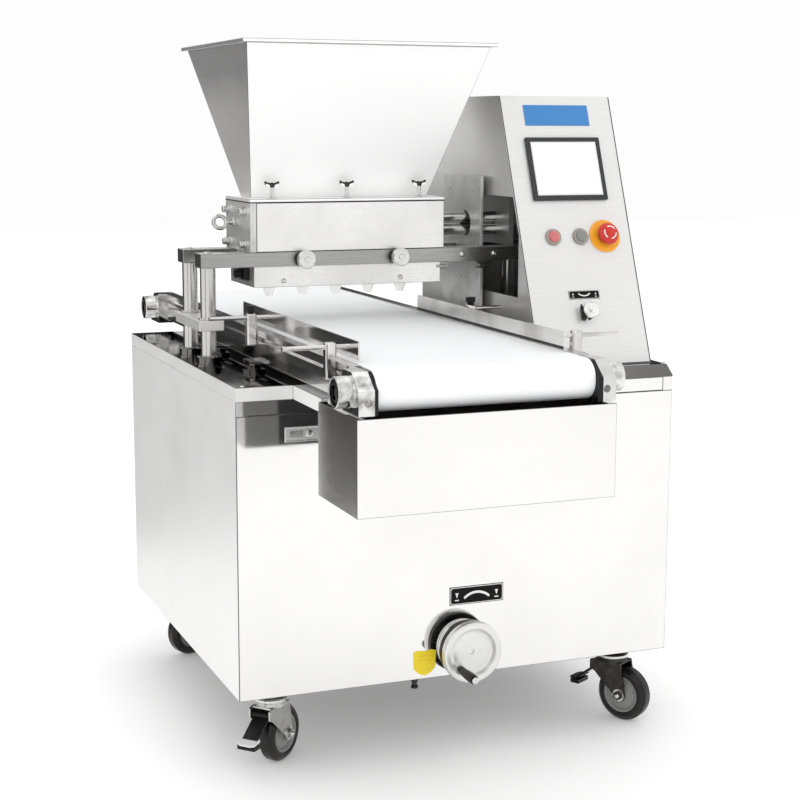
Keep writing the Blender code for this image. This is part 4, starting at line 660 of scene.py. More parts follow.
class DEPOSITOR_OT_stage(bpy.types.Operator):
    """Pale floor, soft light and the camera"""

    bl_idname = "depositor.stage"
    bl_label = "Stage"

    def execute(self, context):
        scene, studio = context.scene, context.scene.depositor_studio
        bm = bmesh.new()
        bmesh.ops.create_grid(bm, x_segments=1, y_segments=1, size=14.0)
        floor = new_object("pale_floor", bm, ("studio_floor",))
        scene.view_settings.view_transform = "Standard"
        surround(scene, studio.sky)
        card("rear_card", (-2.6, 1.35, 0.0), (3.5, 0, 0), 0.93)
        card("rear_right_card", (0.9, 1.35, 0.0), (1.6, 0, 0), 1.2)
        card("left_card", (-2.3, -1.7, 0.0), (0, 0.45, 0), 1.2)
        soft_light("key_light", (-2.2, -3.2, 3.4), 2.6, studio.key)
        soft_light("fill_light", (3.4, -2.2, 2.2), 3.0, studio.key * 0.45)
        soft_light("top_light", (0.2, 0.6, 4.2), 3.4, studio.key * 0.8)
        photo_camera(scene, studio)
        return {"FINISHED"}


# ---------------------------------------------------------------- the leaning control panel

panel_slope = 0.3868
lean = math.atan(panel_slope)
panel_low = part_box("control_panel")[0]
panel_middle = centre_of("control_panel").x
panel_turn = Matrix.Rotation(math.pi / 2 - lean, 4, "X")


def panel_place(across, up, out=0.0):
    """A matrix whose X runs across the panel, Y up its slope and Z out of it."""
    spot = Vector((panel_middle + across, panel_low.y + up * math.sin(lean) - out * math.cos(lean),
        panel_low.z + up * math.cos(lean) + out * math.sin(lean)))
    return Matrix.Translation(spot) @ panel_turn


def on_panel(bm, across, up, out=0.0):
    return placed(bm, panel_place(across, up, out))


# ---------------------------------------------------------------- cabinet, deck and tray

# The outer sides of cabinet and deck lie past this X; the deck's top is at this Z.
outer_side = 0.39
deck_top = 0.6652


def deck(sizes):
    """The mirror deck, tinted dark as a painted dark reflection; its shelf before the cabinet and
    its outer sides are satin.
    """
    bm = whole_mesh("deck")
    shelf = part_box("front_panel")[0].y - 0.002
    rear_edge, skirt = 0.48, 0.645
    bmesh.ops.bisect_plane(bm, geom=everything(bm), plane_co=(0, shelf, 0), plane_no=(0, 1, 0),
        dist=0.000001)
    bm.normal_update()
    for face in bm.faces:
        centre = face.calc_center_median()
        front = centre.y < shelf and face.normal.z > 0.7 or centre.x < 0 and face.normal.y < -0.7
        side = abs(face.normal.x) > 0.7 and (abs(centre.x) > outer_side or centre.y < shelf)
        back = face.normal.y > 0.7 and centre.y > rear_edge
        if centre.z < deck_top and (front or side or back):
            face.material_index = 2
    lined(bm, sizes.sheet_edge)
    for face in bm.faces:
        centre = face.calc_center_median()
        if face.material_index == 1 and abs(centre.x) > outer_side and centre.z < skirt:
            face.material_index = 2
    piece("deck_top", bm, "deck_mirror", "machine", ("deck",), ("fold_line", "cabinet_sheet"))


def tray_back_shade_pads():
    """Two dark pads on the tray's back: painted shade, seen in the mirror front panel."""
    low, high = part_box("crumb_tray")
    back, top, seam = high.y + 0.0012, high.z - 0.0058, low.x + 0.062
    for name, left, right, finish in (("tray_back_painted_shade", seam, high.x - 0.001, "bezel_plastic"),
            ("tray_back_painted_shade_strip", low.x + 0.001, seam - 0.0005, "grey_plastic")):
        pad = block((left, high.y - 0.0002, low.z + 0.001), (right, back, top), 0.0005)
        piece(name, pad, finish, "crumb_tray")


class DEPOSITOR_OT_sheet_metal(bpy.types.Operator):
    """Cabinet, deck, front panel, base frame and control box"""

    bl_idname = "depositor.sheet_metal"
    bl_label = "Sheet metal"

    def execute(self, context):
        sizes = context.scene.depositor_sizes
        rim = 0.63
        shell = folded("cabinet_shell", "polished_sheet", 2.4 * sizes.sheet_edge, "cabinet_sheet")
        for face in shell.data.polygons:
            if face.material_index == 1 and abs(face.center.x) > outer_side and face.center.z > rim:
                face.material_index = 2
        folded("front_panel", "polished_sheet", 2.5 * sizes.sheet_edge)
        dressed("base_frame", "blued_steel", sizes.sheet_edge)
        deck(sizes)
        folded("control_box", "box_sheet", sizes.sheet_edge)
        dressed("control_panel", "panel_sheet")
        folded("crumb_tray", "polished_sheet", 3.2 * sizes.sheet_edge, "tray_side")
        tray_back_shade_pads()
        return {"FINISHED"}


# ---------------------------------------------------------------- castors

# X and Y of each castor, and how far it is swivelled, in turns.
castor_spots = {"front_left": (-0.33, -0.204, 0.115), "front_right": (0.33, -0.204, -0.165),
    "rear_left": (-0.33, 0.429, 0.06), "rear_right": (0.33, 0.429, -0.1)}
wheel_axle = Vector((0.026, 0, 0.05))


def wheel(word, swivel, sizes):
    """A tyre and the disc that carries it."""
    axle = swivel @ Matrix.Translation(wheel_axle) @ towards((0, 1, 0))
    radius, half, hub = 50, 15.7, sizes.hub_radius / MM
    tyre = turned([(hub, -half + 1), (hub + 4, -half), (radius - 8, -half), (radius - 6.5,
        -half + 1.2), (radius, -half + 7.5), (radius, half - 7.5), (radius - 6.5, half - 1.2),
        (radius - 8, half), (hub + 4, half), (hub, half - 1)], edge=0.0016, closed=True)
    disc = turned([(5.5, -half), (12.5, -half), (13.5, -half + 4), (27, -half + 6.2),
        (hub - 3, -half + 2), (hub, -half + 1.2), (hub, half - 1.2), (hub - 3, half - 2),
        (27, half - 6.2), (13.5, half - 4), (12.5, half), (5.5, half)], edge=0.0007, closed=True)
    body = "wheel_" + word
    piece("tyre_" + word, placed(tyre, axle), "tyre_rubber", body, (body,))
    piece("hub_" + word, placed(disc, axle), "grey_plastic", body)


def fork(word, swivel):
    """A fork with its axle's ends, its swivel race and the four bolts of its plate."""
    body = "fork_" + word
    # Painted shade: the front right fork takes the dark blued finish, the other forks are zinc.
    smoothed(body, "zinc_plate" if word != "front_right" else "blued_steel", 0.0007)
    shapes = []
    for side in (-1, 1):
        cheek = wheel_axle + Vector((0, side * 0.021, 0))
        shapes.append(turned([(5.8, 0), (11.5, 0), (11.5, 1.3), (5.8, 1.3)], cheek, (0, side, 0),
            0.0003, 32, True))
        shapes.append(dome(cheek + Vector((0, side * 0.0062, 0)), (0, side, 0), 0.0046, 0.003))
    piece("axle_washers_" + word, placed(together(*shapes), swivel), "turned_steel", body)
    race = turned([(24, 0), (28.3, 0), (29, 1.6), (29, 4.2), (28.3, 5.8), (24, 5.8)],
        (0, 0, 0.1165), UP, 0.0006, 40, True)
    piece("swivel_race_" + word, placed(race, swivel), "turned_steel", body)
    bolts = [hexagon((sx * 0.038, sy * 0.031, 0.1352), DOWN, 0.012, 0.0048) for sx in (-1, 1)
        for sy in (-1, 1)]
    piece("plate_bolts_" + word, placed(together(*bolts), Matrix.Translation(swivel.translation)),
        "zinc_plate", "machine")


def pedal(word, swivel):
    """A brake pedal with a pad on its tread."""
    body = "brake_pedal_" + word
    smoothed(body, "black_plastic", 0.0008)
    outline = [(-11, -17.5), (6, -18.5), (11, -14.5), (11, 14.5), (6, 18.5), (-11, 17.5),
        (-15, 10), (-15, -10)]
    tilt = -0.35 * math.atan2(0.042, 0.054)
    place = swivel @ Matrix.Translation((-0.0693, 0, 0.0625)) @ Matrix.Rotation(tilt, 4, "Y")
    finish = "pale_plastic" if word == "front_left" else "black_plastic"
    piece("pedal_pad_" + word, slab(outline, place, 0.003, 0.0009), finish, body)


class DEPOSITOR_OT_castors(bpy.types.Operator):
    """Tyres, hubs, forks and brake pedals of the four castors"""

    bl_idname = "depositor.castors"
    bl_label = "Castors"

    def execute(self, context):
        for word, (x, y, turns) in castor_spots.items():
            swivel = Matrix.Translation((x, y, 0)) @ Matrix.Rotation(2 * math.pi * turns, 4, "Z")
            wheel(word, swivel, context.scene.depositor_sizes)
            fork(word, swivel)
            if word.startswith("front"):
                pedal(word, swivel)
        return {"FINISHED"}


# ---------------------------------------------------------------- handwheel

def dished_wheel(centre):
    """The dish, a black band of painted shadow in the gap behind its rim, and the shaft behind it.
    """
    rim, inner, hub, front, back, web = 54, 40.5, 13.5, 48, 31.5, 37
    dish = turned([(0, front - 10.5), (4, front - 10.5), (4.6, front - 7.5), (7.5, front - 7.5),
        (hub - 1, front - 8.5), (hub, web + 3), (inner - 6, web + 1), (inner - 1.5, web + 3),
        (inner, front - 2.5), (inner + 2.2, front), (rim - 4, front), (rim - 1, front - 1.6),
        (rim, front - 6), (rim, back + 4), (rim - 3, back), (inner, back), (inner - 3, web - 4),
        (18, web - 4), (16, 20), (8, 19), (8, 4.5), (0, 4.5)], centre, OUT, 0.0008, 72)
    piece("handwheel_dish", dish, "cast_alloy", "handwheel", ("handwheel",))
    # Painted shadow: a black band where the gap between the wheel and its boss lies.
    gap_shadow = turned([(30, 18), (50, 18), (52.2, 19.4), (52.2, 31.4), (30, 31.4)], centre, OUT,
        0.0008, 72, True)
    piece("handwheel_painted_shadow_band", gap_shadow, "black_plastic", "handwheel")
    shaft = whole_mesh("handwheel")
    cut = bmesh.ops.bisect_plane(shaft, geom=everything(shaft), plane_co=(0, centre.y - 0.004, 0),
        plane_no=OUT, clear_outer=True)
    bmesh.ops.holes_fill(shaft, edges=edges_in(cut["geom_cut"]))
    piece("handwheel_shaft", shaft, "turned_steel", "handwheel")


def crank(centre, sizes):
    """The grip that spins on a pin near the wheel's rim."""
    turn, reach = 2 * math.pi * 0.63, 0.036
    x, z = centre.x + reach * math.cos(turn), centre.z + reach * math.sin(turn)
    foot = turned([(0, 36), (9.8, 36), (9.2, 48), (0, 48)], (x, centre.y, z), OUT, 0.0008, 32)
    head = dome((x, -0.3763, z), OUT, 0.0058, 0.003, 0.0022)
    piece("crank_foot", together(foot, head), "cast_alloy", "handwheel")
    r = sizes.grip_radius / MM
    grip = turned([(4.4, 0), (r - 3, 0), (r - 1.2, 4), (r - 1.6, 14), (r - 0.4, 32), (r, 48),
        (r - 1, 58), (r - 3.4, 61.8), (4.4, 61.8)], (x, -0.3144, z), OUT, 0.0008, 40, True)
    piece("grip_sleeve", grip, "black_plastic", "crank_grip", ("crank_grip",))


class DEPOSITOR_OT_handwheel(bpy.types.Operator):
    """Dished handwheel, its grip and the boss behind it"""

    bl_idname = "depositor.handwheel"
    bl_label = "Handwheel"

    def execute(self, context):
        centre = Vector((-0.001, -0.266, 0.192))
        dished_wheel(centre)
        crank(centre, context.scene.depositor_sizes)
        boss = turned([(8.5, 15.5), (38, 15.5), (42.5, 13.5), (46.8, 6), (47, 0.4), (11.5, 0.4),
            (11.5, -30), (8.5, -30)], centre, OUT, 0.0007, 64, True)
        piece("boss_dish", boss, "turned_steel", "machine", ("handwheel_boss",))
        # Painted shadow: a black ring in the gap in front of the boss.
        gap_shade_ring = turned([(9.5, 15.6), (44, 15.6), (45.2, 16.6), (44, 17.6), (9.5, 17.6)], centre,
            OUT, 0.0, 56, True)
        piece("boss_gap_painted_shadow", gap_shade_ring, "black_plastic", "machine")
        return {"FINISHED"}


# ---------------------------------------------------------------- conveyor

def drawn_along(bm, ends, reach):
    """The open end of the belt drawn out along Y; gives its new end."""
    made = bmesh.ops.extrude_edge_only(bm, edges=edges_in(ends))["geom"]
    bmesh.ops.translate(bm, vec=(0, reach, 0), verts=verts_in(made))
    return verts_in(made) + edges_in(made)


def belt(sizes):
    """The belt's loop, spun round each roller and drawn along between them."""
    low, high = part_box("conveyor_belt")
    radius, axle = (high.z - low.z) / 2, (low.z + high.z) / 2
    front, rear, under = low.y + radius, high.y - radius, high.z - sizes.belt_thickness
    bm = bmesh.new()
    corners = [bm.verts.new((x, front, z)) for x, z in ((low.x, high.z), (high.x, high.z),
        (high.x, under), (low.x, under))]
    ends = corners + [bm.edges.new((corners[n], corners[(n + 1) % 4])) for n in range(4)]
    for y, reach in ((front, rear - front), (rear, front - rear)):
        ends = bmesh.ops.spin(bm, geom=ends, cent=(0, y, axle), axis=(1, 0, 0), angle=math.pi,
            steps=20)["geom_last"]
        ends = drawn_along(bm, ends, reach)
    merged(bm)
    piece("belt_loop", rounded(bm, 0.0006, 2, 1.0), "belting", "conveyor", ("conveyor_belt",))


def end_block(node, hand, sizes):
    """An end block with a dark seal along its inner side."""
    bm = rounded(whole_mesh(node), sizes.bar_edge, 2, 0.62)
    low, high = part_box(node)
    left = hand == "left"
    seam = high.x - 0.1 * (high.x - low.x) if left else low.x + 0.16 * (high.x - low.x)
    bmesh.ops.bisect_plane(bm, geom=everything(bm), plane_co=(seam, 0, 0), plane_no=(1, 0, 0),
        dist=0.000001)
    for face in bm.faces:
        across = face.calc_center_median().x
        face.material_index = int(across > seam if left else across < seam)
    piece(node + "_smooth", bm, "block_steel" if left else "satin_upright", "conveyor", (node,),
        ("black_plastic",))


def bearing_cup(word, hand, side):
    """The ring round a roller's axle and the dark seal in it."""
    low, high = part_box(f"{word}_{hand}_block")
    face = low.x if side < 0 else high.x
    start, out = (face - side * 0.0243, -0.596 if word == "front" else 0.596, 0.705), (side, 0, 0)
    ring = turned([(19.2, 9), (19.2, 23.8), (20.5, 24.8), (22.2, 24.8), (23.4, 23.6), (23.4, 3),
        (22.6, 1.8), (19.2, 1.8)], start, out, 0.0005, 64, True)
    piece(f"cup_ring_{word}_{hand}", ring, "block_steel", "conveyor")
    seal = turned([(11.2, 10), (18.8, 10), (18.8, 11.8), (13.5, 13.2), (11.2, 12.8)], start, out,
        0.0003, 48, True)
    piece(f"cup_seal_{word}_{hand}", seal, "black_plastic", "conveyor")


def wiper(hand):
    """A dark rubber strip along the foot of a guide."""
    low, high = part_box("guide_" + hand)
    x = high.x - 0.0006 if hand == "left" else low.x - 0.0008
    strip = block((x, low.y + 0.002, low.z + 0.0002), (x + 0.0014, high.y - 0.002, low.z + 0.0052),
        0.0004)
    piece("guide_wiper_" + hand, strip, "black_plastic", "guide_" + hand)


class DEPOSITOR_OT_conveyor(bpy.types.Operator):
    """White belt, rollers, bearing cups, guides and knobs"""

    bl_idname = "depositor.conveyor"
    bl_label = "Conveyor"

    def execute(self, context):
        sizes = context.scene.depositor_sizes
        belt(sizes)
        dressed("belt_bed", "satin_sheet")
        smoothed("conveyor_frame", "rail_steel", 0.0008)
        for word in ("front", "rear"):
            smoothed(word + "_roller", "turned_steel")
            for hand, side in (("left", -1), ("right", 1)):
                end_block(f"{word}_{hand}_block", hand, sizes)
                bearing_cup(word, hand, side)
        for hand in ("left", "right"):
            smoothed("guide_" + hand, "rail_steel", 0.0005)
            wiper(hand)
            smoothed("guide_knob_" + hand, "black_plastic", 0.001)
        return {"FINISHED"}


# ---------------------------------------------------------------- head

def columns(side, sizes):
    """Two columns with their collars and caps, and the plate that ties them."""
    node = side + "_columns"
    low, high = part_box(node)
    x = (low.x + high.x) / 2
    tie_low, tie_top = 0.729, 0.747
    tie = block((low.x, low.y, tie_low), (high.x, high.y, tie_top), sizes.bar_edge, 3)
    piece(side + "_tie_plate", tie, "tie_plate_steel", "head")
    shapes, caps = [], []
    for y in (-0.0135, 0.1095):
        shapes.append(rod((x, y, low.z), UP, 0.0135, high.z - low.z, 0.0008))
        shapes.append(turned([(13.3, 0), (17.8, 0), (17.8, 3), (13.3, 3)], (x, y, 0.7472), UP,
            0.0005, 48, True))
        caps.append(dome((x, y, 0.8616), UP, 0.0075, 0.003, 0.003))
    piece(side + "_column_pair", together(*shapes), "column_steel", "head", (node,))
    piece(side + "_column_caps", together(*caps), "turned_steel", "head")


def thumb_screw(word):
    """A flat knob and the dark collar behind it."""
    node = "thumb_screw_" + word
    centre = centre_of(node)
    place = (centre.x, -0.0338, centre.z)
    collar = turned([(4.2, 0.2), (11.8, 0.2), (12.2, 3), (10, 7), (10, 9.8), (4.2, 9.8)], place,
        OUT, 0.0006, 48, True)
    piece("thumb_collar_" + word, collar, "blued_steel", node)
    knob = turned([(0, -11.8), (4, -11.8), (4, 9.9), (14, 9.9), (15.6, 11.2), (16, 12.8),
        (16, 21.4), (15.4, 23.2), (13.8, 23.9), (6.2, 23.9), (5, 22.6), (0, 22.2)], place, OUT,
        0.0005, 64)
    piece("thumb_knob_" + word, knob, "turned_steel", node, (node,))


def small_screws():
    """The screws of the front bar and the upright plate, and a plug at the left."""
    shapes = [dome((x, -0.0335, 0.8495), OUT, 0.0052, 0.0034, 0.0022) for x in (0.0936, 0.1576)]
    shapes += [dome((x, -0.0262, 0.8112), OUT, 0.0046, 0.0052, 0.0018) for x in (-0.2436, -0.024)]
    shapes += [dome((0.1348, y, z), LEFT, 0.003, 0.002, 0.0012) for y, z in ((0.042, 0.803),
        (0.062, 0.803), (0.01, 0.965), (0.118, 0.965))]
    piece("bar_screws", together(*shapes), "turned_steel", "head")
    plug = block((-0.3068, 0.004, 0.8105), (-0.2975, 0.04, 0.8345), 0.0016, 3)
    nose = rod((-0.3068, 0.022, 0.8225), LEFT, 0.0086, 0.012, 0.0012, 32)
    piece("side_plug", together(plug, nose), "black_plastic", "head")


def latches():
    """Two small latches on the front bar."""
    for n, x in enumerate((0.058, 0.143)):
        base = block((x - 0.016, -0.0225, 0.8225), (x + 0.014, -0.017, 0.8362), 0.0012, 3)
        lever = block((x - 0.013, -0.0262, 0.8255), (x + 0.009, -0.0228, 0.8318), 0.0014, 3)
        pin = rod((x - 0.0095, -0.0285, 0.8287), (0, 1, 0), 0.0024, 0.01, 0.0004, 24)
        piece(f"bar_latch_{n + 1}", together(base, lever, pin), "satin_bar", "head")


class DEPOSITOR_OT_head(bpy.types.Operator):
    """Columns, bars, cheek plate, thumb screws and lift parts"""

    bl_idname = "depositor.head"
    bl_label = "Head"

    def execute(self, context):
        sizes = context.scene.depositor_sizes
        columns("left", sizes)
        columns("right", sizes)
        dressed("front_bar", "satin_bar", sizes.bar_edge)
        dressed("rear_bar", "satin_bar", sizes.bar_edge)
        dressed("upright_plate", "satin_upright", sizes.sheet_edge)
        smoothed("feed_motor", "cast_alloy", 0.0006)
        smoothed("lift_yoke", "cast_alloy", 0.0006)
        smoothed("lift_screw", "turned_steel")
        thumb_screw("left")
        thumb_screw("right")
        small_screws()
        latches()
        return {"FINISHED"}


# ---------------------------------------------------------------- pump and hopper

def ring_handle():
    """A ring, spun from a round of wire, and the stem that holds it."""
    bm = bmesh.new()
    upright = Matrix.Translation((0.0115, 0, 0)) @ Matrix.Rotation(math.pi / 2, 4, "X")
    bmesh.ops.create_circle(bm, cap_ends=False, segments=18, radius=0.0035, matrix=upright)
    bmesh.ops.spin(bm, geom=everything(bm), cent=(0, 0, 0), axis=UP, angle=2 * math.pi, steps=40,
        use_merge=True)
    merged(bm)
    placed(bm, Matrix.Translation((-0.3315, 0.068, 0.9098)) @ towards((0, -0.72, 0.28)))
    stem = turned([(0, -5.5), (4, -5.5), (4, 0.3), (7.8, 0.3), (8.2, 3), (5.6, 4.6), (4.6, 10),
        (4, 16.5), (0, 18)], (-0.304, 0.068, 0.9098), LEFT, 0.0004, 36)
    piece("ring_and_stem", together(bm, stem), "block_steel", "ring_handle", ("ring_handle",))


def plate_bolts():
    """Four bolts with washers on the pump's end plate."""
    shapes = []
    for z in (0.931, 0.8735):
        for y in (0.004, 0.11):
            shapes.append(turned([(0, 0), (8.8, 0), (8.8, 1.4), (0, 1.4)], (-0.3041, y, z), LEFT,
                0.0003, 32))
            shapes.append(turned([(0, 0), (6.4, 0), (6.4, 8.2), (5.4, 9.6), (3, 9.6), (2.6, 6),
                (0, 6)], (-0.3054, y, z), LEFT, 0.0003, 32))
    piece("end_plate_bolts", together(*shapes), "turned_steel", "head")


def wing_screws():
    """Six wing nuts and their stems along the hopper's flange."""
    leaf = [(0, -2), (6, -1.2), (12.5, 3), (13.8, 7.2), (12.2, 8.8), (7, 6.2), (0, 5)]
    nuts, stems = [], []
    for y in (-0.0145, 0.1105):
        for n in (-1, 0, 1):
            x = -0.122 + n * 0.138
            foot = (x, y, 0.9539)
            stems.append(turned([(0, 0), (7.2, 0), (7.2, 1.2), (4.6, 3), (3.4, 4.2), (3.4, 19),
                (0, 19)], foot, UP, 0.0003, 28))
            nuts.append(turned([(0, 18.8), (4.6, 19.2), (5.2, 20.6), (5.2, 25), (3.6, 27.4),
                (0, 28)], foot, UP, 0.0003, 28))
            for side in (-1, 1):
                place = Matrix.Translation((x, y - 0.0014, 0.9755)) @ Matrix.Rotation(math.pi / 2,
                    4, "X")
                nuts.append(slab(leaf, place @ Matrix.Diagonal((side, 1, -1, 1)), 0.0028, 0.0007))
    piece("hopper_wing_nuts", together(*nuts), "blued_steel", "head")
    piece("hopper_wing_stems", together(*stems), "turned_steel", "head")


def hopper(sizes):
    """The hopper; the outer faces of its sides take a painted dark reflection, darker than its
    front.
    """
    bm = whole_mesh("hopper")
    bm.normal_update()
    middle = centre_of("hopper").x
    for face in bm.faces:
        if face.normal.x * (face.calc_center_median().x - middle) > 0.05:
            face.material_index = 2
    lined(bm, 1.5 * sizes.sheet_edge, 0.12)
    piece("hopper_sheet", bm, "hopper_sheet", node_body("hopper"), ("hopper",),
        ("fold_line", "hopper_side"))


def hopper_gasket():
    """A dark seal that shows between the hopper's flange and the housing."""
    low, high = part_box("pump_housing")
    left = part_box("left_end_plate")[0].x
    z, proud, wide = high.z - 0.0006, 0.0007, 0.006
    x0, x1, y0, y1 = left - proud, high.x + proud, low.y - proud, high.y + proud
    strips = [block((*start, z), (*end, z + 0.002), 0.0003) for start, end in (((x0, y0),
        (x1, y0 + wide)), ((x0, y1 - wide), (x1, y1)), ((x0, y0 + wide), (x0 + wide, y1 - wide)),
        ((x1 - wide, y0 + wide), (x1, y1 - wide)))]
    piece("hopper_gasket", together(*strips), "black_plastic", "head")


class DEPOSITOR_OT_pump(bpy.types.Operator):
    """Pump housing, end plate, rotors, ring handle and hopper"""

    bl_idname = "depositor.pump"
    bl_label = "Pump and hopper"

    def execute(self, context):
        sizes = context.scene.depositor_sizes
        folded("pump_housing", "pump_sheet", sizes.bar_edge)
        dressed("left_end_plate", "satin_upright", sizes.bar_edge)
        folded("nozzle_block", "pump_sheet", sizes.sheet_edge)
        hopper(sizes)
        hopper_gasket()
        smoothed("upper_rotor", "turned_steel", 0.0004)
        smoothed("lower_rotor", "turned_steel", 0.0004)
        ring_handle()
        plate_bolts()
        wing_screws()
        return {"FINISHED"}


class DEPOSITOR_OT_nozzles(bpy.types.Operator):
    """Five clear tapered nozzles"""

    bl_idname = "depositor.nozzles"
    bl_label = "Nozzles"

    def execute(self, context):
        wall = context.scene.depositor_sizes.nozzle_wall / MM
        for n in range(1, 6):
            node = f"nozzle_{n}"
            low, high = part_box(node)
            place = ((low.x + high.x) / 2, (low.y + high.y) / 2, high.z)
            cone = turned([(14.9, 0), (14.9, -2.8), (13.6, -3.6), (12.5, -4.2), (10, -12),
                (6.2, -21.9), (6.2 - wall, -21.9), (10 - wall, -12), (12.5 - wall, -3),
                (12.5 - wall, 0)], place, UP, 0.0004, 40, True)
            piece(f"nozzle_cone_{n}", cone, "clear_plastic", "head", (node,))
        return {"FINISHED"}


# ---------------------------------------------------------------- controls

# How far up the panel's slope each thing sits.
plate_up, screen_up, buttons_up, sign_up, knob_up = 0.4645, 0.362, 0.2355, 0.1285, 0.097


def ribbon(inner, outer, start, stop, thickness, steps):
    """A flat bent strip in XY between two radii, spun from one angle to another."""
    bm = bmesh.new()
    ends = [bm.verts.new((radius * math.cos(start), radius * math.sin(start), 0))
        for radius in (inner, outer)]
    bmesh.ops.spin(bm, geom=ends + [bm.edges.new(ends)], cent=(0, 0, 0), axis=UP,
        angle=stop - start, steps=steps)
    return drawn_up(bm, thickness)


def sign(name, place, width, height, bend=1):
    """A small dark plate with a pale frame, a bent stroke, two wedges and four rivets."""
    w, h, proud = width / 2, height / 2, 0.0006
    plate = slab([(-w, -h), (w, -h), (w, h), (-w, h)], place, 0.0007, 0.0002, 1)
    piece(name, plate, "sign_black", "machine")
    middle = bend * math.pi / 2
    arc = ribbon(height, height * 1.13, middle - 0.76, middle + 0.76, proud, 24)
    marks = [placed(arc, place @ Matrix.Translation((0, -bend * height * 0.93, proud)))]
    wedge = [(-0.09, 0.16), (0, -0.12), (0.09, 0.16)]
    bar = [(-0.12, -0.03), (0.12, -0.03), (0.12, 0.03), (-0.12, 0.03)]
    for side in (-1, 1):
        for outline, y in ((wedge, 0), (bar, -0.24 * height)):
            spot = place @ Matrix.Translation((side * w * 0.74, y, proud))
            marks.append(slab(outline, spot, proud, unit=height))
    t = height * 0.035
    for low, high in (((-w + t, -h + t), (w - t, -h + 2 * t)), ((-w + t, h - 2 * t),
            (w - t, h - t)), ((-w + t, -h + t), (-w + 2 * t, h - t)), ((w - 2 * t, -h + t),
            (w - t, h - t))):
        marks.append(placed(block((*low, proud), (*high, 0.0009)), place))
    piece(name + "_marks", together(*marks), "sign_white", "machine")
    rivets, inset = [], height * 0.11
    for sx in (-1, 1):
        for sy in (-1, 1):
            spot = place @ Matrix.Translation((sx * (w - inset), sy * (h - inset), proud))
            rivets.append(placed(turned([(0, 0.9), (0.8, 0.7), (1.2, 0)], steps=12), spot))
    piece(name + "_rivets", together(*rivets), "turned_steel", "machine")


def screen():
    """A dark bezel with a sunken front, a pale surround and the lit face."""
    w, h = 0.074, 0.059
    bezel = block((-w, -h, 0.0003), (w, h, 0.0063), 0.0016, 3)
    bezel.normal_update()
    front = max(bezel.faces, key=lambda face: face.normal.z * face.calc_area())
    bmesh.ops.inset_region(bezel, faces=[front], thickness=0.0068, use_even_offset=True)
    bmesh.ops.inset_region(bezel, faces=[front], thickness=0.001, depth=-0.001,
        use_even_offset=True)
    piece("screen_bezel", on_panel(bezel, 0, screen_up), "bezel_plastic", "machine", ("screen",))
    surround = block((-0.0669, -0.0517, -0.0003), (0.0669, 0.0517, 0.0003))
    piece("screen_surround", on_panel(surround, 0, screen_up, 0.0056), "pale_plastic", "machine")
    glass = block((-0.0615, -0.0465, -0.0003), (0.0615, 0.0465, 0.0003), 0.0002, 1)
    piece("screen_face", on_panel(glass, 0, screen_up, 0.006), "screen_glass", "machine")


def push_button(across, node, finish):
    """A button's cap in its ring."""
    ring = turned([(10.8, -13), (13, -13), (13, -0.8), (15, -0.6), (15.2, 2.6), (14.2, 5),
        (12, 5.4), (11.2, 4.6), (10.8, 3)], edge=0.0004, steps=48, closed=True)
    piece(node + "_ring", on_panel(ring, across, buttons_up), "warm_ring", "machine")
    cap = turned([(0, 9.4), (6, 9.2), (8.8, 8.6), (10.2, 7.2), (10.4, 5), (10.4, -4), (5.8, -4),
        (5.8, -15.8), (0, -15.8)], edge=0.0004, steps=48)
    piece(node + "_cap", on_panel(cap, across, buttons_up), finish, node, (node,))


def stop_button(across):
    """The emergency stop: disc, neck, mushroom cap and three bent marks."""
    disc = turned([(13.5, -0.2), (30, -0.2), (30.4, 1.2), (29.6, 2.8), (13.5, 3)], edge=0.0004,
        steps=64, closed=True)
    piece("stop_disc_face", on_panel(disc, across, buttons_up), "disc_plastic", "machine")
    neck = turned([(8.4, 2), (14, 3), (14, 5.2), (11.8, 6), (8.4, 6)], edge=0.0003, steps=40,
        closed=True)
    piece("stop_neck", on_panel(neck, across, buttons_up), "black_plastic", "machine")
    cap = turned([(0, 24.7), (10, 24.1), (16, 21.7), (19.4, 18.3), (20, 15.3), (18.8, 12.1),
        (15, 10.5), (7.8, 10.5), (7.8, -11.8), (0, -11.8)], edge=0.0006, steps=64)
    piece("stop_cap", on_panel(cap, across, buttons_up), "stop_plastic", "emergency_stop",
        ("emergency_stop",))
    marks = []
    for n in range(3):
        spot = panel_place(across, buttons_up, 0.0234) @ Matrix.Rotation(2 * math.pi * n / 3, 4,
            "Z")
        marks.append(placed(ribbon(0.0098, 0.0122, 0.6, 2.0, 0.0006, 14), spot))
    piece("stop_arrows", together(*marks), "sign_white", "emergency_stop")


def lever_knob():
    """The adjusting knob with its nose, and the dark lever on it."""
    cap = turned([(0, 18), (10.5, 18), (12.8, 17.2), (14.8, 14.8), (15, 6), (14.2, 2), (12, 0.4),
        (3.8, 0.4), (3.8, -11.8), (0, -11.8)], edge=0.0005, steps=48)
    nose = turned([(0, 17.8), (7, 18), (6.4, 21.5), (4, 23.6), (0, 24.4)], edge=0.0003, steps=32)
    piece("knob_cap", on_panel(together(cap, nose), 0, knob_up), "satin_sheet", "adjusting_knob",
        ("adjusting_knob",))
    outline = [(-18.5, -16), (-12.5, -18), (-8, -12), (-3, -17), (1.5, -15), (-6, -8.5),
        (-11.5, -6), (-13.5, 7), (-15.8, 12.5), (-18, 5)]
    lever = slab(outline, Matrix.Translation((0, 0, 0.006)), 0.006, 0.0008)
    piece("knob_lever", on_panel(lever, 0, knob_up), "black_plastic", "adjusting_knob")


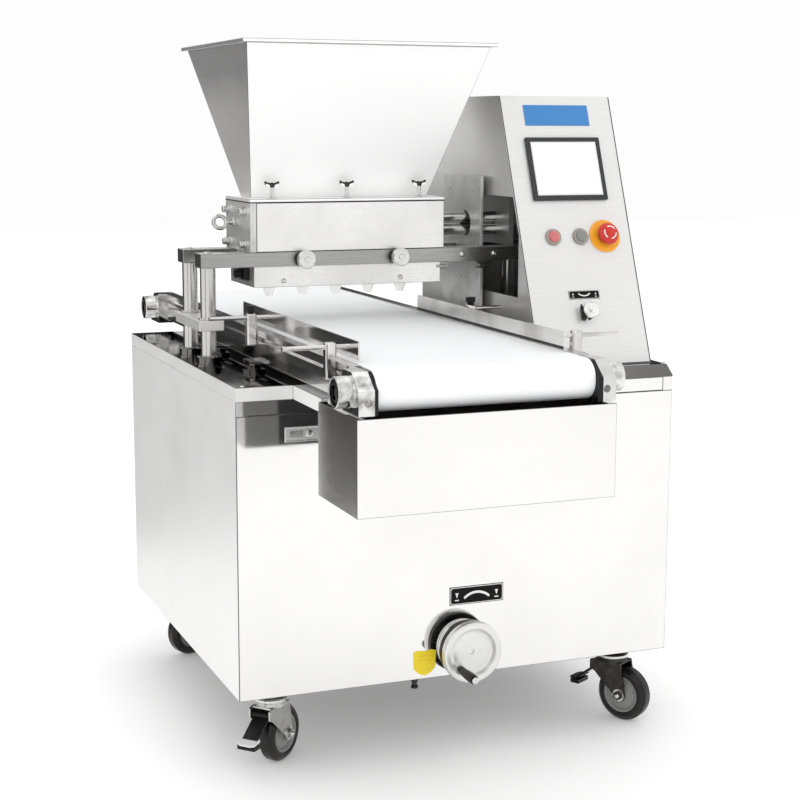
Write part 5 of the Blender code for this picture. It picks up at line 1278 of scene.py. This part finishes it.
def panel_gasket():
    """A thin dark line along the panel's sides and foot."""
    half, thin, rise, back, out = 0.1103, 0.0015, 0.5005, -0.0002, 0.0006
    strips = [block((-half, 0.001, back), (thin - half, rise, out)), block((half - thin, 0.001,
        back), (half, rise, out)), block((-half, 0.0004, back), (half, 0.0018, out))]
    piece("panel_gasket", on_panel(together(*strips), 0, 0), "bezel_plastic", "machine")


class DEPOSITOR_OT_controls(bpy.types.Operator):
    """Screen, buttons, emergency stop, knob and plates of the control panel"""

    bl_idname = "depositor.controls"
    bl_label = "Controls"

    def execute(self, context):
        screen()
        push_button(-0.046, "start_button", "start_plastic")
        push_button(0.008, "stop_button", "grey_plastic")
        stop_button(0.057)
        lever_knob()
        outline = [(-64.5, -19.5), (64.5, -19.5), (64.5, 19.5), (-64.5, 19.5)]
        plate = slab(outline, panel_place(-0.002, plate_up, 0.0001), 0.0008, 0.0002)
        piece("bare_plate", plate, "plate_enamel", "machine")
        sign("panel_sign", panel_place(-0.002, sign_up, 0.0001), 0.061, 0.0155, -1)
        panel_gasket()
        return {"FINISHED"}


# ---------------------------------------------------------------- small things on the cabinet

cabinet_front = Matrix.Translation((0, -0.2661, 0)) @ Matrix.Rotation(math.pi / 2, 4, "X")


def shield():
    """A plain shield with two lines of painted reflection."""
    outline = [(-21.5, 20), (-12, 22.5), (0, 20.5), (12, 22.5), (21.5, 20), (20.5, 4), (20, -10),
        (12, -18.5), (0, -23.5), (-12, -18.5), (-20, -10), (-20.5, 4)]
    place = cabinet_front @ Matrix.Translation((-0.0722, 0.169, 0))
    piece("plain_shield", slab(outline, place, 0.0006, 0.0002), "shield_paint", "machine")
    # Painted reflection: two orange lines across the shield.
    reflection_marks = [block((-0.013, y, 0.0005), (0.013, y + 0.0009, 0.0007)) for y in (0.0115, 0.0045)]
    piece("shield_painted_reflections", placed(together(*reflection_marks), place), "disc_plastic", "machine")


def latch():
    """A sunken latch plate with its round catch."""
    place = cabinet_front @ Matrix.Translation((-0.29, 0.5835, 0))
    plate = block((-0.03, -0.0125, 0), (0.03, 0.0125, 0.0016))
    top = max(plate.faces, key=lambda face: face.normal.z)
    bmesh.ops.inset_region(plate, faces=[top], thickness=0.003)
    bmesh.ops.inset_region(plate, faces=[top], thickness=0.0008, depth=-0.001)
    piece("latch_plate", placed(rounded(plate, 0.0002, 1), place), "satin_sheet", "machine")
    catch = dome((0.012, 0, 0.0006), UP, 0.0064, 0.0026, 0.0026)
    bar = block((-0.022, -0.0055, 0.0004), (0.001, 0.0055, 0.0011), 0.0003)
    piece("latch_knob", placed(together(catch, bar), place), "zinc_plate", "machine")


def drain_screw():
    """A wing screw under the cabinet."""
    x, y = -0.076, -0.23
    stem = turned([(0, 142), (5.8, 142), (5.8, 134), (7.8, 133), (7.8, 127), (5.2, 125.5),
        (4.2, 118), (6.2, 116.5), (6.2, 112.5), (0, 112)], (x, y, 0), UP, 0.0004, 32)
    wings = block((x - 0.015, y - 0.0022, 0.129), (x + 0.019, y + 0.0022, 0.1325), 0.001, 3)
    piece("drain_screw", together(stem, wings), "blued_steel", "machine")


def deck_bolts():
    """The bolts on the deck and under the cabinet's front."""
    shapes = [hexagon((-0.272, -0.276, deck_top), UP, 0.015, 0.0056)]
    shapes += [hexagon((x, -0.248, 0.1398), DOWN, 0.012, 0.005) for x in (0.25, -0.245)]
    shapes += [dome((x, -0.256, deck_top), UP, 0.004, 0.002, 0.0014) for x in (-0.388, 0.388)]
    piece("deck_bolts", together(*shapes), "turned_steel", "machine")


class DEPOSITOR_OT_cabinet_fittings(bpy.types.Operator):
    """Latch plate, plain shield, symbol plate, drain screw and bolts of the cabinet"""

    bl_idname = "depositor.cabinet_fittings"
    bl_label = "Cabinet fittings"

    def execute(self, context):
        sign("cabinet_sign", cabinet_front @ Matrix.Translation((0.0245, 0.281, 0)), 0.101, 0.032)
        shield()
        latch()
        drain_screw()
        deck_bolts()
        return {"FINISHED"}


# ---------------------------------------------------------------- the add-on

class DEPOSITOR_PT_panel(bpy.types.Panel):
    """Lists the steps and their settings"""

    bl_idname = "DEPOSITOR_PT_panel"
    bl_label = "Cake depositor"
    bl_space_type = "VIEW_3D"
    bl_region_type = "UI"
    bl_category = "Depositor"

    def draw(self, context):
        scene = context.scene
        for settings in (scene.depositor_sizes, scene.depositor_colours, scene.depositor_studio):
            box = self.layout.box()
            for key in settings.__annotations__:
                box.prop(settings, key)
        for operator in steps:
            self.layout.operator(operator.bl_idname)


steps = (DEPOSITOR_OT_stage, DEPOSITOR_OT_sheet_metal, DEPOSITOR_OT_castors,
    DEPOSITOR_OT_handwheel, DEPOSITOR_OT_conveyor, DEPOSITOR_OT_head, DEPOSITOR_OT_pump,
    DEPOSITOR_OT_nozzles, DEPOSITOR_OT_controls, DEPOSITOR_OT_cabinet_fittings)
classes = (DepositorSizes, DepositorColours, DepositorStudio) + steps + (DEPOSITOR_PT_panel,)


def register():
    for cls in classes:
        bpy.utils.register_class(cls)
    bpy.types.Scene.depositor_sizes = PointerProperty(type=DepositorSizes)
    bpy.types.Scene.depositor_colours = PointerProperty(type=DepositorColours)
    bpy.types.Scene.depositor_studio = PointerProperty(type=DepositorStudio)


def unregister():
    for key in ("depositor_sizes", "depositor_colours", "depositor_studio"):
        delattr(bpy.types.Scene, key)
    for cls in reversed(classes):
        bpy.utils.unregister_class(cls)


def main():
    register()
    make_finishes(bpy.context.scene.depositor_colours, bpy.context.scene.depositor_studio)
    for operator in steps:
        group, name = operator.bl_idname.split(".")
        getattr(getattr(bpy.ops, group), name)()


if __name__ == "__main__":
    main()
